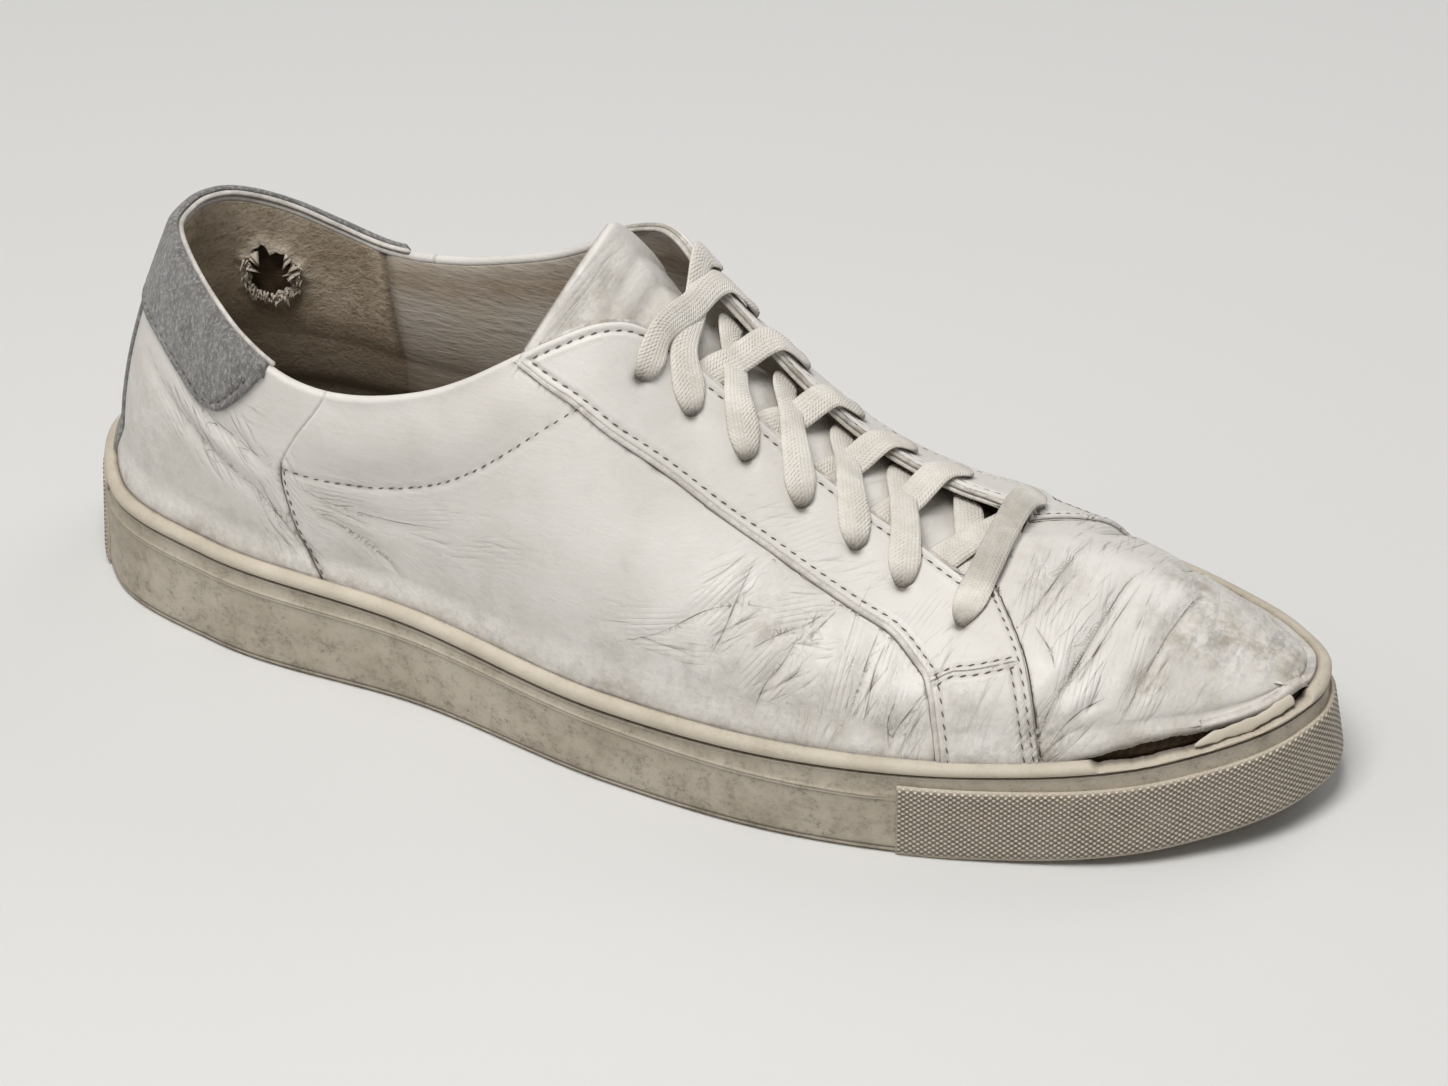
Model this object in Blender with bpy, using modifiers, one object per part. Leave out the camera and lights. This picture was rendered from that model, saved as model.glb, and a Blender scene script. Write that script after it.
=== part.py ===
"""A worn low-top court sneaker for the right foot: sole, hollow upper, overlays, tongue, insole and laces.

Lengths are metres. The origin is on the floor under the middle of the heel seat. +X points to the toe, +Y to
the inner (medial) side of the foot and +Z up. A place round the shoe is given by u: 0 at the middle of the
heel's back, -1 at the toe's tip along the outer (lateral) side, +1 at the toe's tip along the inner side. Its
size is called the share (of the way from heel to toe). A place up the upper is given by v: 0 at the feather
edge, where the upper leaves the sole, and 1 at its top edge.
"""

import bmesh
import bpy
import numpy as np
from mathutils import Matrix, Vector

# Driving dimensions
LENGTH = 0.298  # of the sole
BALL_WIDTH = 0.104  # of the sole
INSTEP = 0.100  # from the floor to the top of the eyestays
HEEL_SEAT = 0.045  # from the heel's back to the origin
TOE_SPRING = 0.009
HEEL_SPRING = 0.0012
GAP = 0.0003  # between pieces that touch
MERGE = 1e-6  # distance at which vertices are joined
COLUMNS = 72  # of faces round the shoe

# Sole
CUP_FLOOR = 0.012
LIP_WIDTH = 0.0042  # from the side to the cup's inner wall
SPRING_START = 0.170  # x where the forefoot leaves the floor
HEEL_SPRING_START = -0.031
SPINE = (0.16, 0.86)  # shares between which the tread's middle line runs
GUARD_THICKNESS = 0.0009  # of the toe bumper and the heel patch
BUMPER_START = 0.695  # share where the toe bumper begins
BUMPER_LOW = 0.0012  # above the tread
BUMPER_BELOW_TOP = 0.0074  # from the side's top down to the bumper's
RIB_UNDER_BUMPER = 0.02  # how far behind the bumper the side's rib ends, as a share
HEEL_PATCH_END = 0.065  # share where the heel patch ends
HEEL_PATCH_LOW = 0.0020
HEEL_PATCH_HIGH = 0.0255
HEEL_PATCH_PROUD = 0.0009  # clears the side's rib

# Upper
WALL = 0.0022
FEATHER_DROP = 0.0006  # how far below the lip's top the upper's wall starts to swell
SIDE_ROWS = 8
THROAT_END = 0.720  # share where the throat ends and the vamp's ridge begins
OVERLAY = 0.0009
OVERLAY_GAP = 0.0006
OVERLAY_TOP = 0.985  # v where the eyestays and the heel tab end
STRIP_END = 0.045  # share where the heel's back strip ends
STRIP_LOW = 0.030  # v of its lower edge
STRIP_BELOW_TAB = 0.015  # v between it and the heel tab
EYELET_RADIUS = 0.0021
EYELET_PIN = 0.012  # length of the pin that cuts an eyelet

# Inside
INSOLE = 0.0040
INSOLE_INSET = 0.0015  # from the upper's inner face
TONGUE_THICKNESS = 0.0025
TONGUE_CURL = 1.45  # power of the curve from its ridge to its edges

# Laces
LACE_WIDTH = 0.0065
LACE_THICKNESS = 0.0012
LACE_ABOVE = 0.0038  # of a lace's middle over the upper's face, where it lies on an eyestay
LACE_BELOW = 0.0042  # of a lace's middle under the upper's face, where it dives below an eyestay
LACE_LEAVES = 0.28  # where a lace leaves its own eyestay, as a share of the way to the next eyelet up
LACE_ARRIVES = 0.80  # where it reaches the other eyestay, the same way
BAR_SHARE = 0.70  # share where the bottom bar leaves an eyestay
BAR_UP = 0.95  # v of that place
BAR_RISE = 0.0012  # of the bar's middle over its ends

# Outline of the sole from the heel's back along the outer side to the toe and back.
# Columns: along is a share of LENGTH from the heel's back, across is a share of BALL_WIDTH.
SOLE_OUTLINE = (
    # along, across
    (0.000, 0.000),
    (0.047, -0.245),
    (0.151, -0.351),
    (0.336, -0.373),
    (0.497, -0.447),
    (0.638, -0.455),
    (0.779, -0.375),
    (0.913, -0.215),
    (0.985, -0.010),
    (0.998, 0.096),
    (0.992, 0.192),
    (0.953, 0.317),
    (0.889, 0.423),
    (0.805, 0.505),
    (0.698, 0.548),
    (0.554, 0.476),
    (0.403, 0.380),
    (0.252, 0.361),
    (0.141, 0.341),
    (0.047, 0.245),
)

# Heights of the sole's side and of its fine rib, and how far the side's top leans in.
SOLE_SIDE = (
    # share, side, rib, lean
    (0.00, 0.0284, 0.0208, 0.0028),
    (0.12, 0.0281, 0.0204, 0.0010),
    (0.25, 0.0276, 0.0199, 0.0004),
    (0.45, 0.0238, 0.0168, 0.0004),
    (0.65, 0.0243, 0.0152, 0.0006),
    (0.85, 0.0241, 0.0152, 0.0030),
    (1.00, 0.0243, 0.0150, 0.0042),
)

# The side's profile from the tread up and over the lip into the cup.
# Columns: what the height is measured from, rise above it, how proud of the outline.
SIDE_PROFILE = (
    ("floor", 0.0000, -0.0020),
    ("floor", 0.0012, -0.0004),
    ("floor", 0.0030, 0.0000),
    ("rib", -0.0007, 0.0000),
    ("rib", 0.0000, 0.0006),
    ("rib", 0.0007, -0.0002),
    ("top", -0.0050, -0.0005),
    ("top", -0.0044, -0.0018),
    ("top", -0.0038, -0.0004),
    ("top", -0.0022, 0.0002),
    ("top", -0.0006, -0.0006),
    ("top", 0.0000, -0.0020),
    ("top", -0.0004, -0.0036),
    ("cup", 0.0000, -0.0042),
)

# The upper's top edge: the throat's edge, eyestay peak and collar, round the heel and back to the throat.
# Columns: u, then along, across and up as shares of LENGTH, BALL_WIDTH and INSTEP.
TOP_LINE = (
    # u, along, across, up
    (-0.720, 0.745, 0.096, 0.500),
    (-0.707, 0.743, 0.019, 0.486),
    (-0.690, 0.728, -0.033, 0.478),
    (-0.665, 0.691, -0.025, 0.515),
    (-0.640, 0.656, -0.024, 0.563),
    (-0.610, 0.612, -0.025, 0.642),
    (-0.580, 0.572, -0.030, 0.733),
    (-0.550, 0.532, -0.044, 0.833),
    (-0.525, 0.500, -0.058, 0.915),
    (-0.505, 0.479, -0.104, 0.986),
    (-0.485, 0.460, -0.155, 1.010),
    (-0.460, 0.430, -0.212, 0.980),
    (-0.435, 0.406, -0.248, 0.940),
    (-0.400, 0.371, -0.286, 0.875),
    (-0.350, 0.328, -0.311, 0.815),
    (-0.300, 0.277, -0.317, 0.773),
    (-0.250, 0.227, -0.309, 0.775),
    (-0.200, 0.183, -0.281, 0.825),
    (-0.160, 0.152, -0.236, 0.870),
    (-0.120, 0.126, -0.183, 0.905),
    (-0.080, 0.104, -0.122, 0.925),
    (-0.040, 0.090, -0.062, 0.925),
    (0.000, 0.084, 0.005, 0.915),
    (0.040, 0.086, 0.075, 0.910),
    (0.080, 0.097, 0.139, 0.895),
    (0.120, 0.114, 0.197, 0.860),
    (0.160, 0.138, 0.245, 0.815),
    (0.200, 0.168, 0.279, 0.765),
    (0.250, 0.211, 0.296, 0.725),
    (0.300, 0.262, 0.298, 0.740),
    (0.350, 0.312, 0.294, 0.785),
    (0.400, 0.356, 0.287, 0.840),
    (0.435, 0.393, 0.270, 0.910),
    (0.460, 0.419, 0.255, 0.960),
    (0.485, 0.451, 0.220, 1.005),
    (0.505, 0.471, 0.190, 1.000),
    (0.525, 0.492, 0.177, 0.935),
    (0.550, 0.525, 0.175, 0.840),
    (0.580, 0.565, 0.177, 0.725),
    (0.610, 0.606, 0.182, 0.625),
    (0.640, 0.649, 0.188, 0.558),
    (0.665, 0.688, 0.195, 0.518),
    (0.690, 0.725, 0.196, 0.500),
    (0.707, 0.742, 0.163, 0.500),
    (0.720, 0.745, 0.096, 0.500),
)

# The vamp's ridge from the throat to the toe's tip. Columns: share, across and up as in TOP_LINE.
RIDGE = (
    # share, across, up
    (0.720, 0.096, 0.500),
    (0.760, 0.113, 0.495),
    (0.800, 0.120, 0.475),
    (0.850, 0.125, 0.440),
    (0.900, 0.125, 0.395),
    (0.950, 0.115, 0.358),
    (1.000, 0.106, 0.330),
)

# How each section rises from the feather edge and arrives at the top edge, in degrees from the vertical
# (outwards at the feather, inwards at the top), with each curve's reach as a share of the section's chord.
SECTIONS = (
    # u, lean_low, reach_low, lean_top, reach_top
    (-1.000, -20.0, 0.34, 80.0, 0.30),
    (-0.900, -4.0, 0.36, 82.0, 0.42),
    (-0.800, 0.0, 0.42, 80.0, 0.42),
    (-0.690, 2.0, 0.42, 68.0, 0.40),
    (-0.600, 5.0, 0.42, 54.0, 0.36),
    (-0.520, 6.0, 0.40, 44.0, 0.34),
    (-0.435, 6.0, 0.36, 26.0, 0.32),
    (-0.330, 5.0, 0.34, 12.0, 0.32),
    (-0.200, 4.0, 0.34, 12.0, 0.32),
    (-0.080, 0.0, 0.34, 22.0, 0.34),
    (0.000, -4.0, 0.34, 22.0, 0.34),
    (0.080, 0.0, 0.34, 22.0, 0.34),
    (0.200, 4.0, 0.34, 12.0, 0.32),
    (0.330, 5.0, 0.34, 12.0, 0.32),
    (0.435, 4.0, 0.36, 24.0, 0.32),
    (0.520, 2.0, 0.38, 38.0, 0.34),
    (0.600, -4.0, 0.36, 52.0, 0.36),
    (0.690, -12.0, 0.34, 70.0, 0.38),
    (0.800, -22.0, 0.32, 78.0, 0.38),
    (0.900, -24.0, 0.32, 80.0, 0.36),
    (1.000, -20.0, 0.34, 80.0, 0.30),
)

# Places of the eyelets on each side, from the toe back.
EYELET_PLACES = (
    # share, v
    (0.706, 0.675),
    (0.663, 0.800),
    (0.634, 0.835),
    (0.603, 0.845),
    (0.570, 0.855),
    (0.538, 0.860),
    (0.508, 0.868),
)

# An eyestay between its rear edge and its throat and front edge, from the collar's corner down to the sole.
EYESTAY = (
    # step, rear share, rear v, front share, front v
    (0.0, 0.441, 0.935, 0.447, 0.985),
    (1.0, 0.468, 0.830, 0.480, 0.985),
    (2.0, 0.500, 0.715, 0.515, 0.985),
    (3.0, 0.547, 0.670, 0.560, 0.985),
    (4.0, 0.600, 0.655, 0.610, 0.985),
    (5.0, 0.645, 0.630, 0.655, 0.985),
    (6.0, 0.674, 0.590, 0.690, 0.960),
    (7.0, 0.697, 0.450, 0.722, 0.740),
    (8.0, 0.710, 0.280, 0.748, 0.500),
    (9.0, 0.717, 0.150, 0.765, 0.290),
    (10.0, 0.721, 0.040, 0.779, 0.040),
)

# Lower edge of the suede tab round the heel's collar.
HEEL_TAB = (
    # share, v
    (0.000, 0.680),
    (0.070, 0.690),
    (0.110, 0.688),
    (0.145, 0.650),
    (0.172, 0.615),
    (0.195, 0.680),
    (0.212, 0.780),
    (0.224, 0.900),
)

# The tongue's cross sections from its seam under the vamp up to its tip, as shares of LENGTH, BALL_WIDTH and
# INSTEP: its ridge, how far each edge reaches and drops from it, and how far back the edges sweep.
TONGUE = (
    # step, along, across, up, outer reach, outer drop, inner reach, inner drop, sweep
    (0.0, 0.772, 0.096, 0.435, 0.192, 0.050, 0.163, 0.080, 0.000),
    (1.0, 0.738, 0.096, 0.426, 0.202, 0.060, 0.173, 0.080, 0.000),
    (2.0, 0.698, 0.087, 0.434, 0.212, 0.060, 0.183, 0.070, 0.000),
    (3.0, 0.658, 0.084, 0.496, 0.221, 0.075, 0.192, 0.080, 0.000),
    (4.0, 0.611, 0.077, 0.582, 0.231, 0.090, 0.192, 0.090, 0.000),
    (5.0, 0.564, 0.075, 0.686, 0.240, 0.100, 0.173, 0.090, 0.000),
    (6.0, 0.523, 0.067, 0.798, 0.250, 0.110, 0.144, 0.090, 0.003),
    (7.0, 0.493, 0.062, 0.900, 0.260, 0.125, 0.125, 0.100, 0.010),
    (8.0, 0.470, 0.058, 0.985, 0.269, 0.150, 0.115, 0.120, 0.017),
    (9.0, 0.450, 0.058, 1.055, 0.269, 0.170, 0.115, 0.140, 0.023),
    (10.0, 0.435, 0.058, 1.115, 0.269, 0.190, 0.115, 0.150, 0.030),
)


def spline(rows, at, column):
    """The table's column read at `at`, a smooth curve through its rows."""
    knots = np.array([row[0] for row in rows], float)
    values = np.array([row[column] for row in rows], float)
    at = np.clip(np.asarray(at, float), knots[0], knots[-1])
    slopes = np.gradient(values, knots)
    k = np.clip(np.searchsorted(knots, at, side="right") - 1, 0, len(knots) - 2)
    step = knots[k + 1] - knots[k]
    t = (at - knots[k]) / step
    rise = values[k + 1] - values[k]
    return (
        values[k]
        + t * t * (3 - 2 * t) * rise
        + t * (1 - t) * step * ((1 - t) * slopes[k] - t * slopes[k + 1])
    )


def closed_curve(points, count):
    """Points of one smooth closed curve through the given ones, evenly spaced."""
    laps = np.array(points * 3 + points[:1], float)
    run = np.r_[0, np.cumsum(np.linalg.norm(np.diff(laps, axis=0), axis=1))]
    rows = np.column_stack([run, laps])
    lap = run[-1] / 3
    at = np.linspace(lap, 2 * lap, count + 1)
    return np.column_stack([spline(rows, at, 1), spline(rows, at, 2)])


def outline_table():
    """Rows of u, x, y and the outward direction round the sole, evenly spaced along each side."""
    scaled = tuple((along * LENGTH - HEEL_SEAT, across * BALL_WIDTH) for along, across in SOLE_OUTLINE)
    curve = closed_curve(scaled, 2000)[:-1]
    ahead = np.roll(curve, -1, axis=0) - np.roll(curve, 1, axis=0)
    ahead /= np.linalg.norm(ahead, axis=1)[:, None]
    rows = np.column_stack([curve, ahead[:, 1], -ahead[:, 0]])
    tip = curve[:, 0].argmax()
    outer, inner = rows[: tip + 1], np.vstack([rows[tip:], rows[:1]])[::-1]
    table = []
    for side, half in ((-1, outer), (1, inner)):
        run = np.r_[0, np.cumsum(np.linalg.norm(np.diff(half[:, :2], axis=0), axis=1))]
        table.append(np.column_stack([side * run / run[-1], half]))
    return np.vstack([table[0][::-1], table[1][1:]])


OUTLINE = outline_table()


def outline(u, proud=0.0):
    """Point in plan on the sole's outline at u, moved outwards by `proud`."""
    x, y, out_x, out_y = (np.interp(u, OUTLINE[:, 0], OUTLINE[:, i]) for i in range(1, 5))
    size = np.hypot(out_x, out_y)
    return np.stack([x + proud * out_x / size, y + proud * out_y / size], axis=-1)


def lip(u, proud):
    """Point in plan on the top of the sole's side, which leans in."""
    return outline(u, proud - spline(SOLE_SIDE, np.abs(u), 3))


def leaning(u, level, proud):
    """Point in plan on the sole's leaning side at a height above its tread."""
    side, lean = spline(SOLE_SIDE, np.abs(u), 1), spline(SOLE_SIDE, np.abs(u), 3)
    return outline(u, proud - lean * level / side)


def floor_height(x):
    """Height of the tread above the floor: toe and heel spring."""
    toe_run = LENGTH - HEEL_SEAT - SPRING_START
    heel_run = HEEL_SEAT + HEEL_SPRING_START
    toe = np.clip((x - SPRING_START) / toe_run, 0, None)
    heel = np.clip((HEEL_SPRING_START - x) / heel_run, 0, None)
    return TOE_SPRING * toe**2 + HEEL_SPRING * heel**2


def side_top(u):
    """Height of the top of the sole's lip."""
    return spline(SOLE_SIDE, np.abs(u), 1) + floor_height(outline(u)[..., 0])


def feather(u):
    """Point where the upper's wall leaves the cup."""
    flat = lip(u, -LIP_WIDTH - GAP)
    return np.concatenate([flat, (side_top(u) - FEATHER_DROP)[..., None]], axis=-1)


def top_edge(u):
    """Point on the upper's top edge: collar, throat edge, or the vamp's ridge in front of the throat."""
    share = np.abs(u)
    edge = np.stack(
        [
            spline(TOP_LINE, u, 1) * LENGTH - HEEL_SEAT,
            spline(TOP_LINE, u, 2) * BALL_WIDTH,
            spline(TOP_LINE, u, 3) * INSTEP,
        ],
        axis=-1,
    )
    middle = (feather(share) + feather(-share)) / 2
    ridge = np.stack(
        [
            middle[..., 0],
            spline(RIDGE, share, 1) * BALL_WIDTH,
            spline(RIDGE, share, 2) * INSTEP,
        ],
        axis=-1,
    )
    return np.where((share > THROAT_END)[..., None], ridge, edge)


def wall(u, v):
    """Point on the upper's outer face. v is 0 at the feather edge and 1 at the top edge."""
    u, v = np.broadcast_arrays(np.asarray(u, float), np.asarray(v, float))
    low, high = feather(u), top_edge(u)
    inward = high - low
    inward[..., 2] = 0
    chord = np.linalg.norm(high - low, axis=-1)[..., None]
    inward /= np.maximum(np.linalg.norm(inward, axis=-1)[..., None], 1e-9)
    outward = np.concatenate([outline(u, 1.0) - outline(u), np.zeros(u.shape + (1,))], axis=-1)
    up = np.array([0.0, 0.0, 1.0])
    lean_low = np.radians(spline(SECTIONS, u, 1))[..., None]
    lean_top = np.radians(spline(SECTIONS, u, 3))[..., None]
    start = up * np.cos(lean_low) + outward * np.sin(lean_low)
    end = up * np.cos(lean_top) + inward * np.sin(lean_top)
    second = low + start * chord * spline(SECTIONS, u, 2)[..., None]
    third = high - end * chord * spline(SECTIONS, u, 4)[..., None]
    t = v[..., None]
    return (
        low * (1 - t) ** 3
        + second * 3 * t * (1 - t) ** 2
        + third * 3 * t * t * (1 - t)
        + high * t**3
    )


def wall_normal(u, v):
    """Outward direction of the upper's outer face."""
    step = 1e-3
    u, v = np.broadcast_arrays(np.asarray(u, float), np.asarray(v, float))
    along = wall(u + step, v) - wall(u - step, v)
    upward = wall(u, np.minimum(v + step, 1)) - wall(u, np.maximum(v - step, 0))
    normal = np.cross(upward, along)
    return normal / np.maximum(np.linalg.norm(normal, axis=-1)[..., None], 1e-12)


# Blender helpers


def material(name, colour, roughness):
    look = bpy.data.materials.new(name)
    look.use_nodes = True
    shader = look.node_tree.nodes["Principled BSDF"]
    shader.inputs["Base Color"].default_value = (*colour, 1)
    shader.inputs["Roughness"].default_value = roughness
    shader.inputs["Metallic"].default_value = 0.0
    return look


def add_object(name, bm, look=None):
    """A new object in the shoe's collection from a bmesh, which is freed."""
    mesh = bpy.data.meshes.new(name)
    bm.to_mesh(mesh)
    bm.free()
    obj = bpy.data.objects.new(name, mesh)
    bpy.data.collections["sneaker"].objects.link(obj)
    if look:
        mesh.materials.append(look)
    mesh.shade_smooth()
    return obj


def sheet(name, columns, rows, place, look):
    """A grid bent into shape: place(a, b) gives a point for each a along its columns and b along its rows.

    Both a and b run from 0 to 1. Vertices that fall together are joined.
    """
    bm = bmesh.new()
    bmesh.ops.create_grid(bm, x_segments=columns, y_segments=rows, size=1)
    flat = np.array([vert.co[:2] for vert in bm.verts]) / 2 + 0.5
    flat[:, 0] = np.round(flat[:, 0] * columns) / columns
    flat[:, 1] = np.round(flat[:, 1] * rows) / rows
    for vert, point in zip(bm.verts, place(flat[:, 0], flat[:, 1])):
        vert.co = point
    bmesh.ops.remove_doubles(bm, verts=bm.verts, dist=MERGE)
    return add_object(name, bm, look)


def solidify(obj, thickness, offset):
    """Thicken a sheet: inwards for an offset of -1, outwards for 1, both ways for 0."""
    modifier = obj.modifiers.new("wall", "SOLIDIFY")
    modifier.thickness = thickness
    modifier.offset = offset
    modifier.use_even_offset = True
    return obj


def combine(obj, operation, tool):
    """Cut or join an object with another, which moves out of the model to the cutters' collection."""
    modifier = obj.modifiers.new(operation.lower(), "BOOLEAN")
    modifier.operation = operation
    modifier.solver = "EXACT"
    modifier.object = tool
    for collection in list(tool.users_collection):
        collection.objects.unlink(tool)
    bpy.data.collections["cutters"].objects.link(tool)
    tool.hide_render = True
    tool.display_type = "WIRE"
    return obj


# Sole


def sole_point(a, b):
    """The cup sole as one skin: out from the tread's middle, up the side, over the lip and across the cup."""
    u = 1 - 2 * a
    last_row = len(SIDE_PROFILE) + 1
    row = np.round(b * last_row).astype(int)
    side = spline(SOLE_SIDE, np.abs(u), 1)
    rib = spline(SOLE_SIDE, np.abs(u), 2)
    covered = np.abs(u) > BUMPER_START - RIB_UNDER_BUMPER
    points = np.zeros((len(u), 3))
    for i, (base, rise, proud) in enumerate(SIDE_PROFILE, start=1):
        here = row == i
        swell = np.where(covered & (base == "rib"), 0.0, proud)
        level = {"floor": 0 * u, "rib": rib, "top": side, "cup": CUP_FLOOR + 0 * u}[base] + rise
        flat = lip(u, swell) if base == "cup" else leaning(u, level, swell)
        points[here] = np.column_stack([flat, floor_height(flat[:, 0]) + level])[here]
    share = np.clip(np.abs(u), *SPINE)
    middle = (outline(share) + outline(-share)) / 2
    for end, level in ((0, 0.0), (last_row, CUP_FLOOR)):
        here = row == end
        points[here] = np.column_stack([middle, floor_height(middle[:, 0]) + level])[here]
    return points


def make_sole(look):
    return sheet("cup_sole", COLUMNS, len(SIDE_PROFILE) + 1, sole_point, look)


def bumper_point(a, b):
    """Outer toe guard, laid on the sole's side round the toe."""
    before_toe = (2 * a - 1) * (1 - BUMPER_START)
    u = np.where(before_toe < 0, -1 - before_toe, 1 - before_toe)
    high = spline(SOLE_SIDE, np.abs(u), 1) - BUMPER_BELOW_TOP
    level = BUMPER_LOW + (high - BUMPER_LOW) * b
    flat = leaning(u, level, 2 * GAP)
    return np.column_stack([flat, floor_height(flat[:, 0]) + level])


def make_bumper(look):
    return solidify(sheet("toe_bumper", 36, 2, bumper_point, look), GUARD_THICKNESS, 1)


def heel_patch_point(a, b):
    """Textured patch on the back of the heel."""
    u = (1 - 2 * a) * HEEL_PATCH_END
    level = HEEL_PATCH_LOW + (HEEL_PATCH_HIGH - HEEL_PATCH_LOW) * b
    return np.column_stack([leaning(u, level, HEEL_PATCH_PROUD), level])


def make_heel_patch(look):
    return solidify(sheet("heel_patch", 8, 1, heel_patch_point, look), GUARD_THICKNESS, 1)


# Upper


def upper_point(a, b):
    """The upper's outer face, with a skirt row below the feather edge that stands in the cup."""
    u = 1 - 2 * a
    row = np.round(b * (SIDE_ROWS + 1)) - 1
    points = wall(u, np.clip(row / SIDE_ROWS, 0, 1))
    skirt = row < 0
    points[skirt, 2] = (CUP_FLOOR + GAP + floor_height(points[:, 0]))[skirt]
    return points


def make_upper(look):
    upper = solidify(sheet("upper", COLUMNS, SIDE_ROWS + 1, upper_point, look), WALL, -1)
    return combine(upper, "DIFFERENCE", eyelet_pins((-1, 1)))


def lift(u, v, height):
    """Point on the upper's outer face, moved off it by `height`."""
    return wall(u, v) + wall_normal(u, v) * height


def make_eyestay(name, side, look):
    """The overlay that carries the eyelets, on one side (-1 outer, 1 inner)."""

    def place(a, b):
        step = a * EYESTAY[-1][0]
        front = b if side < 0 else 1 - b
        share = spline(EYESTAY, step, 1) * (1 - front) + spline(EYESTAY, step, 3) * front
        v = spline(EYESTAY, step, 2) * (1 - front) + spline(EYESTAY, step, 4) * front
        return lift(side * share, v, OVERLAY_GAP)

    eyestay = solidify(sheet(name, 22, 3, place, look), OVERLAY, 1)
    return combine(eyestay, "DIFFERENCE", eyelet_pins((side,)))


def make_heel_tab(look):
    def place(a, b):
        u = (1 - 2 * a) * HEEL_TAB[-1][0]
        low = spline(HEEL_TAB, np.abs(u), 1)
        return lift(u, low + (OVERLAY_TOP - low) * b, OVERLAY_GAP)

    return solidify(sheet("heel_tab", 24, 3, place, look), OVERLAY, 1)


def make_back_strip(look):
    def place(a, b):
        high = HEEL_TAB[0][1] - STRIP_BELOW_TAB
        return lift((1 - 2 * a) * STRIP_END, STRIP_LOW + (high - STRIP_LOW) * b, OVERLAY_GAP)

    return solidify(sheet("back_strip", 4, 5, place, look), OVERLAY, 1)


def eyelet_pins(sides):
    """One pin through each eyelet of the sides given, all in one object."""
    bm = bmesh.new()
    for share, v in EYELET_PLACES:
        for side in sides:
            turn = Vector(wall_normal(side * share, v)).to_track_quat("Z", "Y").to_matrix()
            bmesh.ops.create_cone(
                bm,
                cap_ends=True,
                segments=8,
                radius1=EYELET_RADIUS,
                radius2=EYELET_RADIUS,
                depth=EYELET_PIN,
                matrix=Matrix.Translation(wall(side * share, v)) @ turn.to_4x4(),
            )
    return add_object("eyelet_pins", bm)


# Tongue, insole and laces


def tongue_point(a, b):
    """The tongue's top face. a runs from the outer to the inner edge, b from its seam up to its tip."""
    step = b * TONGUE[-1][0]
    side = 2 * a - 1
    outer = side < 0
    reach = np.where(outer, spline(TONGUE, step, 4), spline(TONGUE, step, 6)) * BALL_WIDTH
    drop = np.where(outer, spline(TONGUE, step, 5), spline(TONGUE, step, 7)) * INSTEP
    sweep = spline(TONGUE, step, 8) * LENGTH * np.where(outer, -1, 0.5)
    size = np.abs(side)
    x = spline(TONGUE, step, 1) * LENGTH - HEEL_SEAT + sweep * size**TONGUE_CURL
    y = spline(TONGUE, step, 2) * BALL_WIDTH + reach * side
    z = spline(TONGUE, step, 3) * INSTEP - drop * size**TONGUE_CURL
    return np.column_stack([x, y, z])


def make_tongue(look):
    return solidify(sheet("tongue", 12, 11, tongue_point, look), TONGUE_THICKNESS, -1)


def insole_point(a, b):
    u = 1 - 2 * a
    share = np.clip(np.abs(u), *SPINE)
    middle = (outline(share) + outline(-share)) / 2
    edge = lip(u, -LIP_WIDTH - WALL - INSOLE_INSET)
    flat = edge * (1 - b[:, None]) + middle * b[:, None]
    return np.column_stack([flat, floor_height(flat[:, 0]) + CUP_FLOOR + GAP + INSOLE])


def make_insole(look):
    return solidify(sheet("insole", COLUMNS, 1, insole_point, look), INSOLE, -1)


def ribbon(name, points, faces, look):
    """A flat lace through the points, square to the directions its face looks in."""
    run = np.r_[0, np.cumsum(np.linalg.norm(np.diff(points, axis=0), axis=1))]
    rows = np.column_stack([run / run[-1], points, faces])

    def read(at, first):
        return np.stack([spline(rows, at, first + i) for i in range(3)], axis=-1)

    def place(a, b):
        ahead = read(a + 0.01, 1) - read(a - 0.01, 1)
        across = np.cross(ahead, read(a, 4))
        across /= np.linalg.norm(across, axis=1)[:, None]
        return read(a, 1) + across * ((b - 0.5) * LACE_WIDTH)[:, None]

    return solidify(sheet(name, 10, 1, place, look), LACE_THICKNESS, 0)


def lace_route(side, number, starts_on_top, ends_on_top):
    """Points and face directions of a lace from one eyelet to the next one up on the other side."""
    (share, v), (next_share, next_v) = EYELET_PLACES[number - 1 : number + 1]
    leaving = share + (next_share - share) * LACE_LEAVES
    arriving = share + (next_share - share) * LACE_ARRIVES
    places = [(side * leaving, OVERLAY_TOP), (-side * arriving, OVERLAY_TOP)]
    heights = [LACE_ABOVE if top else -LACE_BELOW for top in (starts_on_top, ends_on_top)]
    points = [lift(*place, height) for place, height in zip(places, heights)]
    faces = [wall_normal(*place) for place in places]
    apart = np.array([0, 0, side * LACE_THICKNESS / 3])
    points.insert(1, (points[0] + points[1]) / 2 + apart)
    faces.insert(1, (faces[0] + faces[1]) / 2)
    if starts_on_top:
        points.insert(0, lift(side * share, v, LACE_ABOVE))
        faces.insert(0, wall_normal(side * share, v))
    if ends_on_top:
        points.append(lift(-side * next_share, next_v, LACE_ABOVE))
        faces.append(wall_normal(-side * next_share, next_v))
    return points, faces


def make_crossing(number, look):
    """Two laces that cross between one pair of eyelets and the next, joined where they cross.

    The lowest two run under both eyestays, the top two over both, the rest from over one to under the other.
    """
    name = "lace_crossing_%d" % number
    starts_on_top = number > 1
    ends_on_top = number == len(EYELET_PLACES) - 1
    first, second = (
        ribbon(name, *lace_route(side, number, starts_on_top, ends_on_top), look) for side in (-1, 1)
    )
    return combine(first, "UNION", second)


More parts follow.
